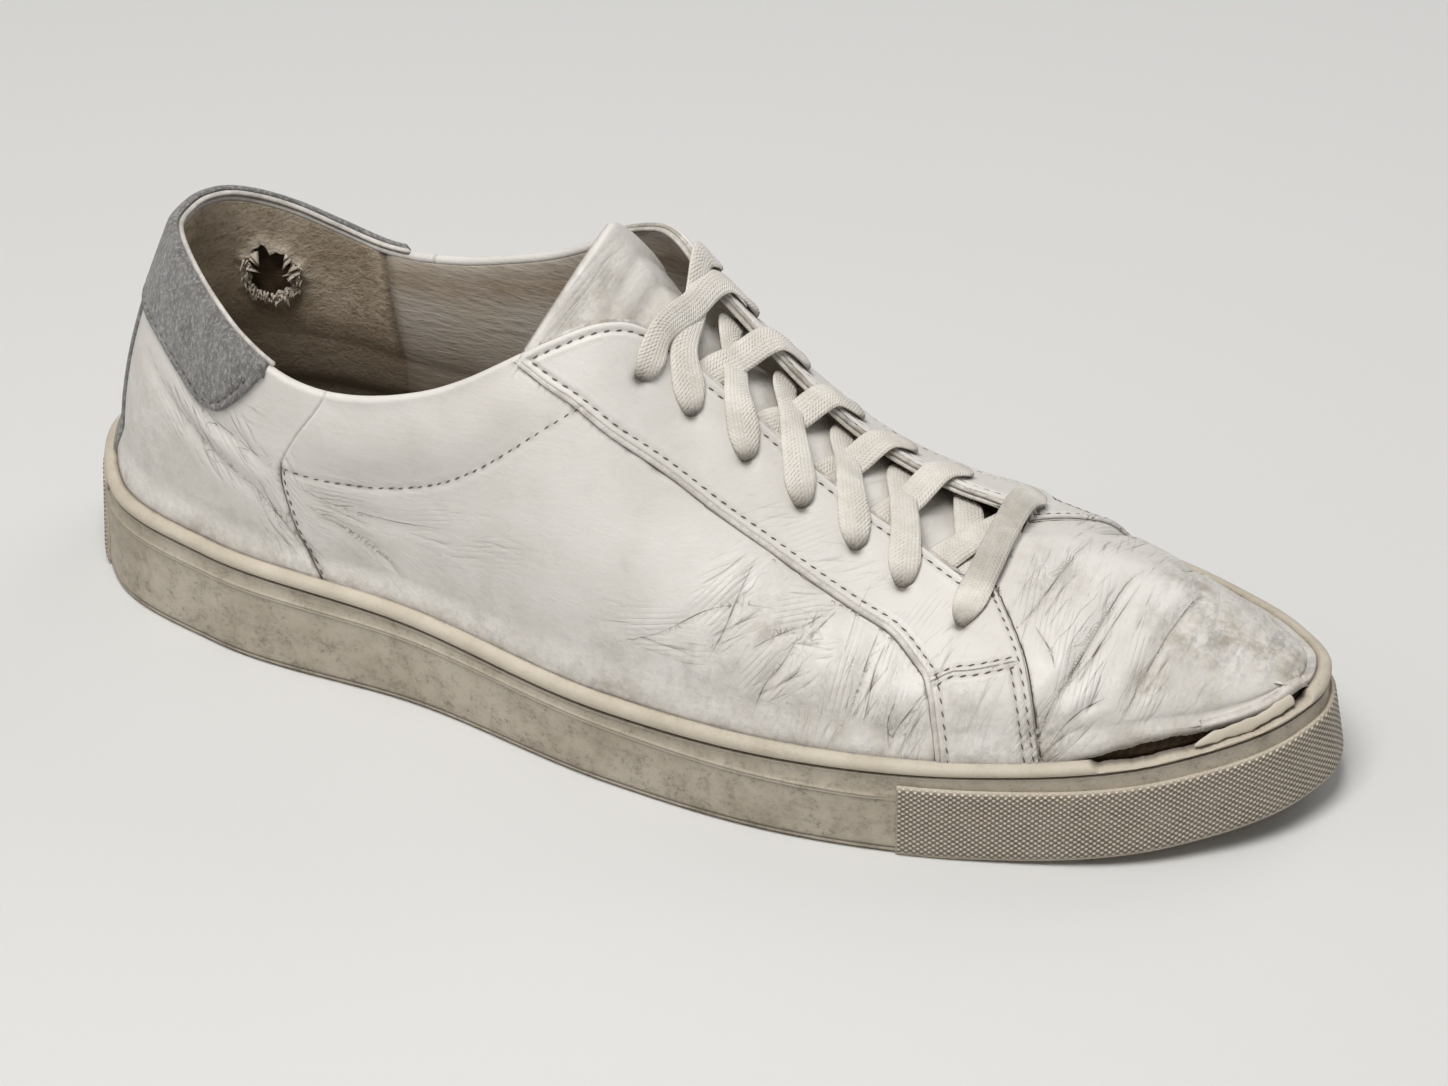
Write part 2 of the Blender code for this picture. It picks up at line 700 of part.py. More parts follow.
def make_bottom_bar(look):
    """The lace across the throat's foot, between the lowest eyelets."""
    share, v = EYELET_PLACES[0]
    places = [(-share, v), (-BAR_SHARE, BAR_UP), (BAR_SHARE, BAR_UP), (share, v)]
    points = [lift(*place, LACE_ABOVE) for place in places]
    faces = [wall_normal(*place) for place in places]
    points.insert(2, (points[1] + points[2]) / 2 + np.array([0, 0, BAR_RISE]))
    faces.insert(2, np.array([0, 0, 1.0]))
    return ribbon("lace_bottom_bar", points, faces, look)


def main():
    for old in list(bpy.data.objects):
        bpy.data.objects.remove(old, do_unlink=True)
    for name in ("sneaker", "cutters"):
        bpy.context.scene.collection.children.link(bpy.data.collections.new(name))
    leather = material("white leather", (0.74, 0.72, 0.68), 0.5)
    overlay = material("eyestay leather", (0.76, 0.74, 0.70), 0.48)
    suede = material("grey suede", (0.30, 0.30, 0.31), 0.95)
    lining = material("tongue leather", (0.72, 0.70, 0.66), 0.55)
    footbed = material("insole lining", (0.42, 0.38, 0.33), 0.85)
    cotton = material("lace cotton", (0.70, 0.68, 0.63), 0.9)
    rubber = material("white rubber", (0.66, 0.63, 0.57), 0.6)
    knurled = material("knurled rubber", (0.60, 0.57, 0.51), 0.65)

    make_sole(rubber)
    make_bumper(knurled)
    make_heel_patch(knurled)
    make_upper(leather)
    make_eyestay("eyestay_lateral", -1, overlay)
    make_eyestay("eyestay_medial", 1, overlay)
    make_heel_tab(suede)
    make_back_strip(suede)
    make_tongue(lining)
    make_insole(footbed)
    make_bottom_bar(cotton)
    for number in range(1, len(EYELET_PLACES)):
        make_crossing(number, cotton)


main()
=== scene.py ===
"""Dresses the worn sneaker's solids: leather panels, stitching, lining, lace, rubber sole, pale studio.

Lengths are metres unless a name or a table says mm. A place on the shoe's side is given as in the solids:
u is 0 at the middle of the heel's back, -1 at the toe's tip along the outer side and +1 along the inner
side, and v is 0 at the feather edge, where the upper leaves the sole, and 1 at the upper's top edge. In
front of the throat the two sides meet on the vamp's ridge, and a v above 1 has crossed it: 1.3 on one side
is 0.7 on the other. A share is the size of u.
"""

import math
from functools import cache

import bmesh
import bpy
import numpy as np
from bpy.props import FloatProperty, FloatVectorProperty, PointerProperty
from mathutils import Matrix, Vector
from mathutils.kdtree import KDTree


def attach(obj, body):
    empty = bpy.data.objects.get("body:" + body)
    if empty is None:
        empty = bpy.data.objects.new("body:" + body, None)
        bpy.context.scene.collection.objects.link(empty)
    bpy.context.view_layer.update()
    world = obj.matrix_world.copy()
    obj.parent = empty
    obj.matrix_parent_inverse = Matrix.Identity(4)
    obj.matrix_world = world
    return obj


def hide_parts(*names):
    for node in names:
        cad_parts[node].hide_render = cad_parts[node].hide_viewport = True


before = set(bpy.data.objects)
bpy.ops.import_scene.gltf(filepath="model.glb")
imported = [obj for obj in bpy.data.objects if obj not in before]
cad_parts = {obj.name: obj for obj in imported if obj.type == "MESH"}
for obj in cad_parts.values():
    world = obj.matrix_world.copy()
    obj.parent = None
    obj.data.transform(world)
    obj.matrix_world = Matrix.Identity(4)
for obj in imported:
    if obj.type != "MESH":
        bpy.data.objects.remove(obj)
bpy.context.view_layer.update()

bl_info = {
    "name": "Worn Sneaker",
    "version": (1, 0, 0),
    "blender": (4, 5, 0),
    "location": "View3D > Sidebar > Sneaker",
    "description": "Builds a worn leather court sneaker, piece by piece, round its packed solids",
    "category": "Object",
}

MM = 0.001

# Sizes of the solids

LENGTH = 0.298  # of the sole
BALL_WIDTH = 0.104  # of the sole
INSTEP = 0.100  # from the floor to the top of the eyestays
HEEL_SEAT = 0.045  # from the heel's back to the origin
TOE_SPRING = 0.009
HEEL_SPRING = 0.0012
GAP = 0.0003
CUP_FLOOR = 0.012
LIP_WIDTH = 0.0042
SPRING_START = 0.170
HEEL_SPRING_START = -0.031
SPINE = (0.16, 0.86)
BUMPER_START = 0.695
FEATHER_DROP = 0.0006
THROAT_END = 0.720
WALL = 0.0022
INSOLE = 0.0040
INSOLE_INSET = 0.0015
TONGUE_CURL = 1.45
SWELL = 2.0 * MM  # of the leather over the sole's lip
SWELL_END = 0.12  # v where it has died away
TUCK = 1.4 * MM  # of the leather's lower edge behind the bead
TUCK_END = 0.035
CORNER_ROUNDING = 0.06  # of u, at the wall's foot
CORNER_WEIGHTS = ((-1.5, 0.12), (-0.75, 0.23), (0.0, 0.30), (0.75, 0.23), (1.5, 0.12))
STEP = 1e-3  # of u and v, between the two points that a slope is taken from
SIDES = {-1: "outer", 1: "inner"}  # what a piece on a side of the shoe is called

# Thickness of the sheets and the cords

VAMP_SHEET = 1.3 * MM
QUARTER_SHEET = 0.9 * MM
OVERLAY_SHEET = 1.0 * MM
STRIP_SHEET = 0.8 * MM
LINING_SHEET = 0.7 * MM
BARED_SHEET = 0.5 * MM
MARGIN_SHEET = 0.6 * MM
TONGUE_SHEET = 3.0 * MM
INSOLE_SHEET = INSOLE - 0.4 * MM
TREAD_SHEET = 1.5 * MM
GUARD_SHEET = 0.9 * MM
PIPING = 1.25 * MM
COLLAR_PIPING = 1.2 * MM
FOLDED_EDGE = 0.95 * MM

# How the pieces are laid out

ROLLED = 2.1  # where a panel that rolls over the collar ends, inside the shoe
SEAM_TOP = 0.58  # where the heel seam's edges have died away
OVERLAP = 0.004  # of u, by which a quarter reaches under the vamp
EASINGS = 60  # rounds that smooth the vamp's ridge
LINING_END = 0.716  # share
PADDING = 1.9 * MM  # of the lining round the heel
FLAPS = 11  # torn from the lining's hole
FIBRES = 119  # round the same hole
CORD_STEP = 0.3 * MM  # either way along a cord, where its direction is taken
CORD_END = 0.6 * MM  # over which a cord's end is rounded off
CORD_SECTION = 0.8  # 1 is an ellipse, less is squarer
TREAD_DEPTH = 1.3 * MM
TREAD_PITCH = 6.5 * MM
TREAD_INSET = 2.6 * MM  # of its edge from the sole's outline
RIB_TOP = 1.1 * MM  # where the band starts, over the rib's middle
BEAD_FOOT = 4.7  # mm under the side's top, where the band ends
CUP_BASE = 1.6 * MM  # of the sole's hollow underside, over its tread
STITCH = (0.80, 0.19, 0.16)  # mm: half a stitch's length, width and height
SOLE_STITCH = (2.75, 0.22, 0.30)
STITCH_RISE = 0.18 * MM  # of a stitch's middle over the leather
SOLE_PITCH = 5.8 * MM
GROOVE_FLOOR = (-3.68, -0.95)  # of the sole's stitch groove: rise mm, proud mm
LACE_BAR = (0.700, 0.96, 2.2)  # share, v and mm off the leather at the bottom bar's ends
LACE_EDGE = 0.985  # v where the lace crosses the throat's edge
LACE_OVER = 1.9  # mm off the leather there
LACE_UNDER = -3.4  # mm, hidden below it
LEAVES, ARRIVES = 0.28, 0.80  # parts of the way between two eyelets where a crossing meets the edge

# Tables of the solids

SOLE_OUTLINE = (
    # along, across: shares of LENGTH from the heel's back and of BALL_WIDTH
    (0.0, 0.0), (0.047, -0.245), (0.151, -0.351), (0.336, -0.373), (0.497, -0.447), (0.638, -0.455),
    (0.779, -0.375), (0.913, -0.215), (0.985, -0.01), (0.998, 0.096), (0.992, 0.192), (0.953, 0.317),
    (0.889, 0.423), (0.805, 0.505), (0.698, 0.548), (0.554, 0.476), (0.403, 0.38), (0.252, 0.361),
    (0.141, 0.341), (0.047, 0.245),
)
SOLE_SIDE = (
    # share, side, rib, lean
    (0.0, 0.0284, 0.0208, 0.0028), (0.12, 0.0281, 0.0204, 0.001), (0.25, 0.0276, 0.0199, 0.0004),
    (0.45, 0.0238, 0.0168, 0.0004), (0.65, 0.0243, 0.0152, 0.0006), (0.85, 0.0241, 0.0152, 0.003),
    (1.0, 0.0243, 0.015, 0.0042),
)
TOP_LINE = (
    # u, along, across, up: shares of LENGTH, BALL_WIDTH and INSTEP
    (-0.72, 0.745, 0.096, 0.5), (-0.707, 0.743, 0.019, 0.486), (-0.69, 0.728, -0.033, 0.478),
    (-0.665, 0.691, -0.025, 0.515), (-0.64, 0.656, -0.024, 0.563), (-0.61, 0.612, -0.025, 0.642),
    (-0.58, 0.572, -0.03, 0.733), (-0.55, 0.532, -0.044, 0.833), (-0.525, 0.5, -0.058, 0.915),
    (-0.505, 0.479, -0.104, 0.986), (-0.485, 0.46, -0.155, 1.01), (-0.46, 0.43, -0.212, 0.98),
    (-0.435, 0.406, -0.248, 0.94), (-0.4, 0.371, -0.286, 0.875), (-0.35, 0.328, -0.311, 0.815),
    (-0.3, 0.277, -0.317, 0.773), (-0.25, 0.227, -0.309, 0.775), (-0.2, 0.183, -0.281, 0.825),
    (-0.16, 0.152, -0.236, 0.87), (-0.12, 0.126, -0.183, 0.905), (-0.08, 0.104, -0.122, 0.925),
    (-0.04, 0.09, -0.062, 0.925), (0.0, 0.084, 0.005, 0.915), (0.04, 0.086, 0.075, 0.91),
    (0.08, 0.097, 0.139, 0.895), (0.12, 0.114, 0.197, 0.86), (0.16, 0.138, 0.245, 0.815),
    (0.2, 0.168, 0.279, 0.765), (0.25, 0.211, 0.296, 0.725), (0.3, 0.262, 0.298, 0.74),
    (0.35, 0.312, 0.294, 0.785), (0.4, 0.356, 0.287, 0.84), (0.435, 0.393, 0.27, 0.91),
    (0.46, 0.419, 0.255, 0.96), (0.485, 0.451, 0.22, 1.005), (0.505, 0.471, 0.19, 1.0),
    (0.525, 0.492, 0.177, 0.935), (0.55, 0.525, 0.175, 0.84), (0.58, 0.565, 0.177, 0.725),
    (0.61, 0.606, 0.182, 0.625), (0.64, 0.649, 0.188, 0.558), (0.665, 0.688, 0.195, 0.518),
    (0.69, 0.725, 0.196, 0.5), (0.707, 0.742, 0.163, 0.5), (0.72, 0.745, 0.096, 0.5),
)
RIDGE = (
    # share, across, up
    (0.72, 0.096, 0.5), (0.76, 0.113, 0.495), (0.8, 0.12, 0.475), (0.85, 0.125, 0.44), (0.9, 0.125, 0.395),
    (0.95, 0.115, 0.358), (1.0, 0.106, 0.33),
)
SECTIONS = (
    # u, lean_low, reach_low, lean_top, reach_top
    (-1.0, -20.0, 0.34, 80.0, 0.3), (-0.9, -4.0, 0.36, 82.0, 0.42), (-0.8, 0.0, 0.42, 80.0, 0.42),
    (-0.69, 2.0, 0.42, 68.0, 0.4), (-0.6, 5.0, 0.42, 54.0, 0.36), (-0.52, 6.0, 0.4, 44.0, 0.34),
    (-0.435, 6.0, 0.36, 26.0, 0.32), (-0.33, 5.0, 0.34, 12.0, 0.32), (-0.2, 4.0, 0.34, 12.0, 0.32),
    (-0.08, 0.0, 0.34, 22.0, 0.34), (0.0, -4.0, 0.34, 22.0, 0.34), (0.08, 0.0, 0.34, 22.0, 0.34),
    (0.2, 4.0, 0.34, 12.0, 0.32), (0.33, 5.0, 0.34, 12.0, 0.32), (0.435, 4.0, 0.36, 24.0, 0.32),
    (0.52, 2.0, 0.38, 38.0, 0.34), (0.6, -4.0, 0.36, 52.0, 0.36), (0.69, -12.0, 0.34, 70.0, 0.38),
    (0.8, -22.0, 0.32, 78.0, 0.38), (0.9, -24.0, 0.32, 80.0, 0.36), (1.0, -20.0, 0.34, 80.0, 0.3),
)
EYELET_PLACES = (
    # share, v
    (0.706, 0.675), (0.663, 0.8), (0.634, 0.835), (0.603, 0.845), (0.57, 0.855), (0.538, 0.86),
    (0.508, 0.868),
)
EYESTAY = (
    # step, rear share, rear v, front share, front v
    (0.0, 0.437, 0.985, 0.44, 1.0), (1.0, 0.465, 0.84, 0.478, 1.0), (2.0, 0.498, 0.715, 0.515, 1.0),
    (3.0, 0.547, 0.67, 0.56, 1.0), (4.0, 0.6, 0.655, 0.61, 1.0), (5.0, 0.645, 0.63, 0.655, 1.0),
    (6.0, 0.674, 0.59, 0.69, 0.975), (7.0, 0.697, 0.45, 0.727, 0.744), (8.0, 0.71, 0.28, 0.757, 0.5),
    (9.0, 0.717, 0.13, 0.773, 0.28), (10.0, 0.722, 0.0, 0.785, 0.0),
)
HEEL_TAB = (
    # share, v of its lower edge
    (0.0, 0.68), (0.07, 0.69), (0.11, 0.688), (0.145, 0.65), (0.172, 0.606), (0.19, 0.64), (0.205, 0.73),
    (0.22, 0.86), (0.232, 1.0),
)
TONGUE = (
    # step, along, across, up, outer reach, outer drop, inner reach, inner drop, sweep
    (0.0, 0.772, 0.096, 0.435, 0.192, 0.05, 0.163, 0.08, 0.0),
    (1.0, 0.738, 0.096, 0.426, 0.202, 0.06, 0.173, 0.08, 0.0),
    (2.0, 0.698, 0.087, 0.434, 0.212, 0.06, 0.183, 0.07, 0.0),
    (3.0, 0.658, 0.084, 0.496, 0.221, 0.075, 0.192, 0.08, 0.0),
    (4.0, 0.611, 0.077, 0.582, 0.231, 0.09, 0.192, 0.09, 0.0),
    (5.0, 0.564, 0.075, 0.686, 0.24, 0.1, 0.173, 0.09, 0.0),
    (6.0, 0.523, 0.067, 0.798, 0.25, 0.11, 0.144, 0.09, 0.003),
    (7.0, 0.493, 0.062, 0.9, 0.26, 0.125, 0.125, 0.1, 0.01),
    (8.0, 0.47, 0.058, 0.985, 0.269, 0.15, 0.115, 0.12, 0.017),
    (9.0, 0.45, 0.058, 1.055, 0.269, 0.17, 0.115, 0.14, 0.023),
    (10.0, 0.435, 0.058, 1.115, 0.269, 0.19, 0.115, 0.15, 0.03),
)


def ramp(value, start, run):
    """0 at the start and 1 at `run` past it, straight between. A run below 0 goes the other way."""
    return np.clip((value - start) / run, 0, 1)


def bell(value, middle, width):
    """1 at the middle, falling off over the width to both sides."""
    return np.exp(-(((value - middle) / width) ** 2))


def runs(path):
    """How far along a path each of its points lies."""
    return np.r_[0, np.cumsum(np.linalg.norm(np.diff(path, axis=0), axis=1))]


def spline(rows, at, column):
    """The table's column read at `at`, a smooth curve through its rows."""
    knots = np.array([row[0] for row in rows], float)
    values = np.array([row[column] for row in rows], float)
    at = np.clip(np.asarray(at, float), knots[0], knots[-1])
    slopes = np.gradient(values, knots)
    k = np.clip(np.searchsorted(knots, at, side="right") - 1, 0, len(knots) - 2)
    step = knots[k + 1] - knots[k]
    t = (at - knots[k]) / step
    rise = values[k + 1] - values[k]
    return (
        values[k]
        + t * t * (3 - 2 * t) * rise
        + t * (1 - t) * step * ((1 - t) * slopes[k] - t * slopes[k + 1])
    )


def closed_curve(points, count):
    """Points of one smooth closed curve through the given ones, evenly spaced."""
    laps = np.array(points * 3 + points[:1], float)
    run = runs(laps)
    rows = np.column_stack([run, laps])
    lap = run[-1] / 3
    at = np.linspace(lap, 2 * lap, count + 1)
    return np.column_stack([spline(rows, at, 1), spline(rows, at, 2)])


def outline_table():
    """Rows of u, x, y and the outward direction round the sole, evenly spaced along each side."""
    scaled = tuple((along * LENGTH - HEEL_SEAT, across * BALL_WIDTH) for along, across in SOLE_OUTLINE)
    curve = closed_curve(scaled, 2000)[:-1]
    ahead = np.roll(curve, -1, axis=0) - np.roll(curve, 1, axis=0)
    ahead /= np.linalg.norm(ahead, axis=1)[:, None]
    rows = np.column_stack([curve, ahead[:, 1], -ahead[:, 0]])
    tip = curve[:, 0].argmax()
    outer, inner = rows[: tip + 1], np.vstack([rows[tip:], rows[:1]])[::-1]
    table = []
    for side, half in ((-1, outer), (1, inner)):
        run = runs(half[:, :2])
        table.append(np.column_stack([side * run / run[-1], half]))
    return np.vstack([table[0][::-1], table[1][1:]])


OUTLINE = outline_table()


def outline(u, proud=0.0):
    """Point in plan on the sole's outline at u, moved outwards by `proud`."""
    x, y, out_x, out_y = (np.interp(u, OUTLINE[:, 0], OUTLINE[:, i]) for i in range(1, 5))
    size = np.hypot(out_x, out_y)
    return np.stack([x + proud * out_x / size, y + proud * out_y / size], axis=-1)


def lip(u, proud):
    """Point in plan on the top of the sole's side, which leans in."""
    return outline(u, proud - spline(SOLE_SIDE, np.abs(u), 3))


def leaning(u, level, proud):
    """Point in plan on the sole's leaning side at a height above its tread."""
    side, lean = spline(SOLE_SIDE, np.abs(u), 1), spline(SOLE_SIDE, np.abs(u), 3)
    return outline(u, proud - lean * level / side)


def level_out(u):
    """The level direction out of the sole's outline."""
    return np.concatenate([outline(u, 1.0) - outline(u), np.zeros(np.shape(u) + (1,))], axis=-1)


def spine(u):
    """Point in plan on the sole's middle line beside u."""
    share = np.clip(np.abs(u), *SPINE)
    return (outline(share) + outline(-share)) / 2


def floor_height(x):
    """Height of the tread above the floor: toe and heel spring."""
    toe_run = LENGTH - HEEL_SEAT - SPRING_START
    heel_run = HEEL_SEAT + HEEL_SPRING_START
    toe = np.clip((x - SPRING_START) / toe_run, 0, None)
    heel = np.clip((HEEL_SPRING_START - x) / heel_run, 0, None)
    return TOE_SPRING * toe**2 + HEEL_SPRING * heel**2


def over_floor(flat, level):
    """Points in plan raised to a height above the sole's tread."""
    return np.column_stack([flat, floor_height(flat[:, 0]) + level])


def side_top(u):
    """Height of the top of the sole's lip."""
    return spline(SOLE_SIDE, np.abs(u), 1) + floor_height(outline(u)[..., 0])


def feather(u):
    """Point where the upper's wall leaves the cup."""
    flat = lip(u, -LIP_WIDTH - GAP)
    return np.concatenate([flat, (side_top(u) - FEATHER_DROP)[..., None]], axis=-1)


def top_edge(u):
    """Point on the upper's top edge: collar, throat edge, or the vamp's ridge in front of the throat."""
    share = np.abs(u)
    x, y, z = (spline(TOP_LINE, u, column) for column in (1, 2, 3))
    edge = np.stack([x * LENGTH - HEEL_SEAT, y * BALL_WIDTH, z * INSTEP], axis=-1)
    middle = (feather(share) + feather(-share)) / 2
    across, up = spline(RIDGE, share, 1), spline(RIDGE, share, 2)
    ridge = np.stack([middle[..., 0], across * BALL_WIDTH, up * INSTEP], axis=-1)
    return np.where((share > THROAT_END)[..., None], ridge, edge)


def followed_edge(u, v):
    """The top edge as the wall below follows it, its corner of collar and throat rounded lower down."""
    high = top_edge(u)
    share = np.abs(u)
    window = ramp(share, 0.40, 0.06) * ramp(share, 0.66, -0.08)
    spread = CORNER_ROUNDING * (1 - v) * window
    near = spread > 1e-5
    if near.any():
        high[near] = sum(weight * top_edge(u[near] + k * spread[near]) for k, weight in CORNER_WEIGHTS)
    return high


def unit(vectors):
    """The vectors, each with a length of 1."""
    return vectors / np.maximum(np.linalg.norm(vectors, axis=-1)[..., None], 1e-12)


def wall(u, v):
    """Point on the upper's outer face. A v above 1 has crossed the vamp's ridge."""
    u, v = np.broadcast_arrays(np.asarray(u, float), np.asarray(v, float))
    u, v = np.where(v > 1, -u, u), np.where(v > 1, 2 - v, v)
    low, high = feather(u), followed_edge(u, v)
    inward = high - low
    inward[..., 2] = 0
    inward = unit(inward)
    chord = np.linalg.norm(high - low, axis=-1)[..., None]
    outward = level_out(u)
    up = np.array([0.0, 0.0, 1.0])
    lean_low = np.radians(spline(SECTIONS, u, 1))[..., None]
    lean_top = np.radians(spline(SECTIONS, u, 3))[..., None]
    start = up * np.cos(lean_low) + outward * np.sin(lean_low)
    end = up * np.cos(lean_top) + inward * np.sin(lean_top)
    second = low + start * chord * spline(SECTIONS, u, 2)[..., None]
    third = high - end * chord * spline(SECTIONS, u, 4)[..., None]
    t = v[..., None]
    climb = np.clip(t / SWELL_END, 0, 1)
    swell = SWELL * (1 - climb * climb * (3 - 2 * climb))
    tuck = TUCK * np.clip(1 - t / TUCK_END, 0, 1) ** 2
    return (
        low * (1 - t) ** 3
        + second * 3 * t * (1 - t) ** 2
        + third * 3 * t * t * (1 - t)
        + high * t**3
        + outward * swell
        - up * tuck
    )


def wall_axes(u, v):
    """Directions on the upper's outer face: outwards, up along the section, and towards the toe."""
    u, v = np.broadcast_arrays(np.asarray(u, float), np.asarray(v, float))
    side = np.where(v > 1, -np.sign(u + 1e-9), np.sign(u + 1e-9))[..., None]
    crossed = np.where(v > 1, -1.0, 1.0)[..., None]
    here = np.where(v > 1, np.minimum(v, 2 - STEP), np.minimum(v, 1))
    low = np.where(v > 1, np.maximum(here - STEP, 1 + 1e-6), np.maximum(here - STEP, 0))
    high = np.where(v > 1, here + STEP, np.minimum(here + STEP, 1))
    upward = unit((wall(u, high) - wall(u, low)) * crossed)
    toeward = unit((wall(u + STEP, v) - wall(u - STEP, v)) * np.sign(u + 1e-9)[..., None])
    return unit(np.cross(upward, toeward * side)), upward, toeward


def skin(u, v):
    """Points on the upper's outer face and the outward directions there."""
    return wall(u, v), wall_axes(u, v)[0]


def axes_at(u, v):
    """The upper's three directions at one place."""
    return (axis[0] for axis in wall_axes(np.array([u]), np.array([v])))


# Wear: folds, fine creases and soil on the upper

FOLDS = (
    # depth mm (less than 0 is a ridge), width mm, places (u, v) along the fold
    (0.93, 2.0, (
        (-0.782, 0.06), (-0.787, 0.23), (-0.795, 0.44), (-0.8, 0.66), (-0.805, 0.92), (-0.815, 1.1),
    )),
    (0.56, 1.6, ((-0.79, 0.3), (-0.803, 0.5), (-0.809, 0.72), (-0.815, 0.96))),
    (-0.75, 5.5, ((-0.8, 0.14), (-0.815, 0.4), (-0.824, 0.66), (-0.832, 0.92), (-0.838, 1.15))),
    (0.81, 1.8, (
        (-0.838, 0.16), (-0.842, 0.36), (-0.846, 0.57), (-0.849, 0.76), (-0.856, 1.0), (-0.862, 1.14),
    )),
    (-0.5, 5.0, ((-0.856, 0.3), (-0.864, 0.56), (-0.872, 0.84), (-0.878, 1.05))),
    (0.87, 2.0, ((-0.75, 0.62), (-0.755, 0.74), (-0.759, 0.86), (-0.764, 1.0), (-0.768, 1.2))),
    (-0.65, 4.5, ((-0.768, 0.4), (-0.776, 0.62), (-0.781, 0.84), (-0.786, 1.0), (-0.79, 1.22))),
    (-0.45, 3.0, ((-0.735, 0.86), (-0.742, 1.0), (-0.748, 1.18))),
    (0.5, 1.2, ((-0.76, 0.62), (-0.775, 0.52), (-0.783, 0.43))),
    (0.43, 1.2, ((-0.79, 0.06), (-0.806, 0.21), (-0.822, 0.3))),
    (0.39, 1.4, ((-0.505, 0.17), (-0.535, 0.25), (-0.562, 0.36), (-0.583, 0.43), (-0.602, 0.47))),
    (0.44, 1.3, ((-0.585, 0.57), (-0.579, 0.43), (-0.573, 0.31), (-0.565, 0.21))),
    (0.5, 1.4, ((-0.623, 0.46), (-0.613, 0.29), (-0.603, 0.18), (-0.597, 0.07))),
    (0.39, 1.3, ((-0.593, 0.3), (-0.606, 0.38), (-0.623, 0.48), (-0.632, 0.57))),
    (0.55, 1.5, ((-0.662, 0.57), (-0.662, 0.44), (-0.662, 0.29), (-0.659, 0.14))),
    (0.39, 1.2, ((-0.668, 0.54), (-0.668, 0.4), (-0.67, 0.24), (-0.67, 0.12))),
    (-0.44, 3.2, ((-0.645, 0.5), (-0.641, 0.34), (-0.634, 0.16))),
    (-0.44, 3.2, ((-0.683, 0.46), (-0.681, 0.3), (-0.679, 0.14))),
    (0.33, 1.1, ((-0.686, 0.27), (-0.685, 0.16), (-0.688, 0.04))),
    (0.43, 1.1, ((-0.703, 0.34), (-0.698, 0.24), (-0.69, 0.1), (-0.688, 0.02))),
    (0.33, 1.1, ((-0.636, 0.58), (-0.63, 0.49), (-0.624, 0.4))),
    (-0.39, 4.0, ((-0.6, 0.42), (-0.588, 0.26), (-0.58, 0.12))),
    (0.61, 2.6, (
        (-0.092, 0.6), (-0.13, 0.53), (-0.16, 0.47), (-0.188, 0.42), (-0.212, 0.38), (-0.236, 0.33),
    )),
    (0.44, 2.0, ((-0.15, 0.62), (-0.185, 0.57), (-0.214, 0.55), (-0.245, 0.5))),
    (-0.55, 3.4, ((-0.125, 0.6), (-0.16, 0.55), (-0.195, 0.48), (-0.232, 0.42))),
    (0.33, 1.6, ((-0.215, 0.4), (-0.24, 0.28), (-0.262, 0.12), (-0.28, 0.02))),
    (0.28, 2.4, ((-0.262, 0.46), (-0.29, 0.42), (-0.325, 0.4), (-0.37, 0.42))),
    (0.28, 2.0, ((-0.265, 0.38), (-0.3, 0.28), (-0.335, 0.14))),
    (0.5, 1.6, ((0.618, 0.5), (0.612, 0.34), (0.604, 0.16))),
    (0.55, 1.6, ((0.664, 0.56), (0.66, 0.38), (0.655, 0.16))),
    (0.44, 1.4, ((0.69, 0.44), (0.688, 0.26), (0.684, 0.08))),
    (-0.44, 3.4, ((0.64, 0.48), (0.636, 0.32), (0.63, 0.14))),
    (0.81, 2.0, ((0.768, 0.72), (0.776, 0.46), (0.78, 0.14))),
    (-0.5, 5.0, ((0.8, 0.7), (0.806, 0.44), (0.804, 0.16))),
    (0.74, 1.8, ((0.834, 0.72), (0.838, 0.48), (0.832, 0.2))),
    (0.5, 2.2, ((0.11, 0.58), (0.16, 0.48), (0.205, 0.38), (0.24, 0.26))),
)

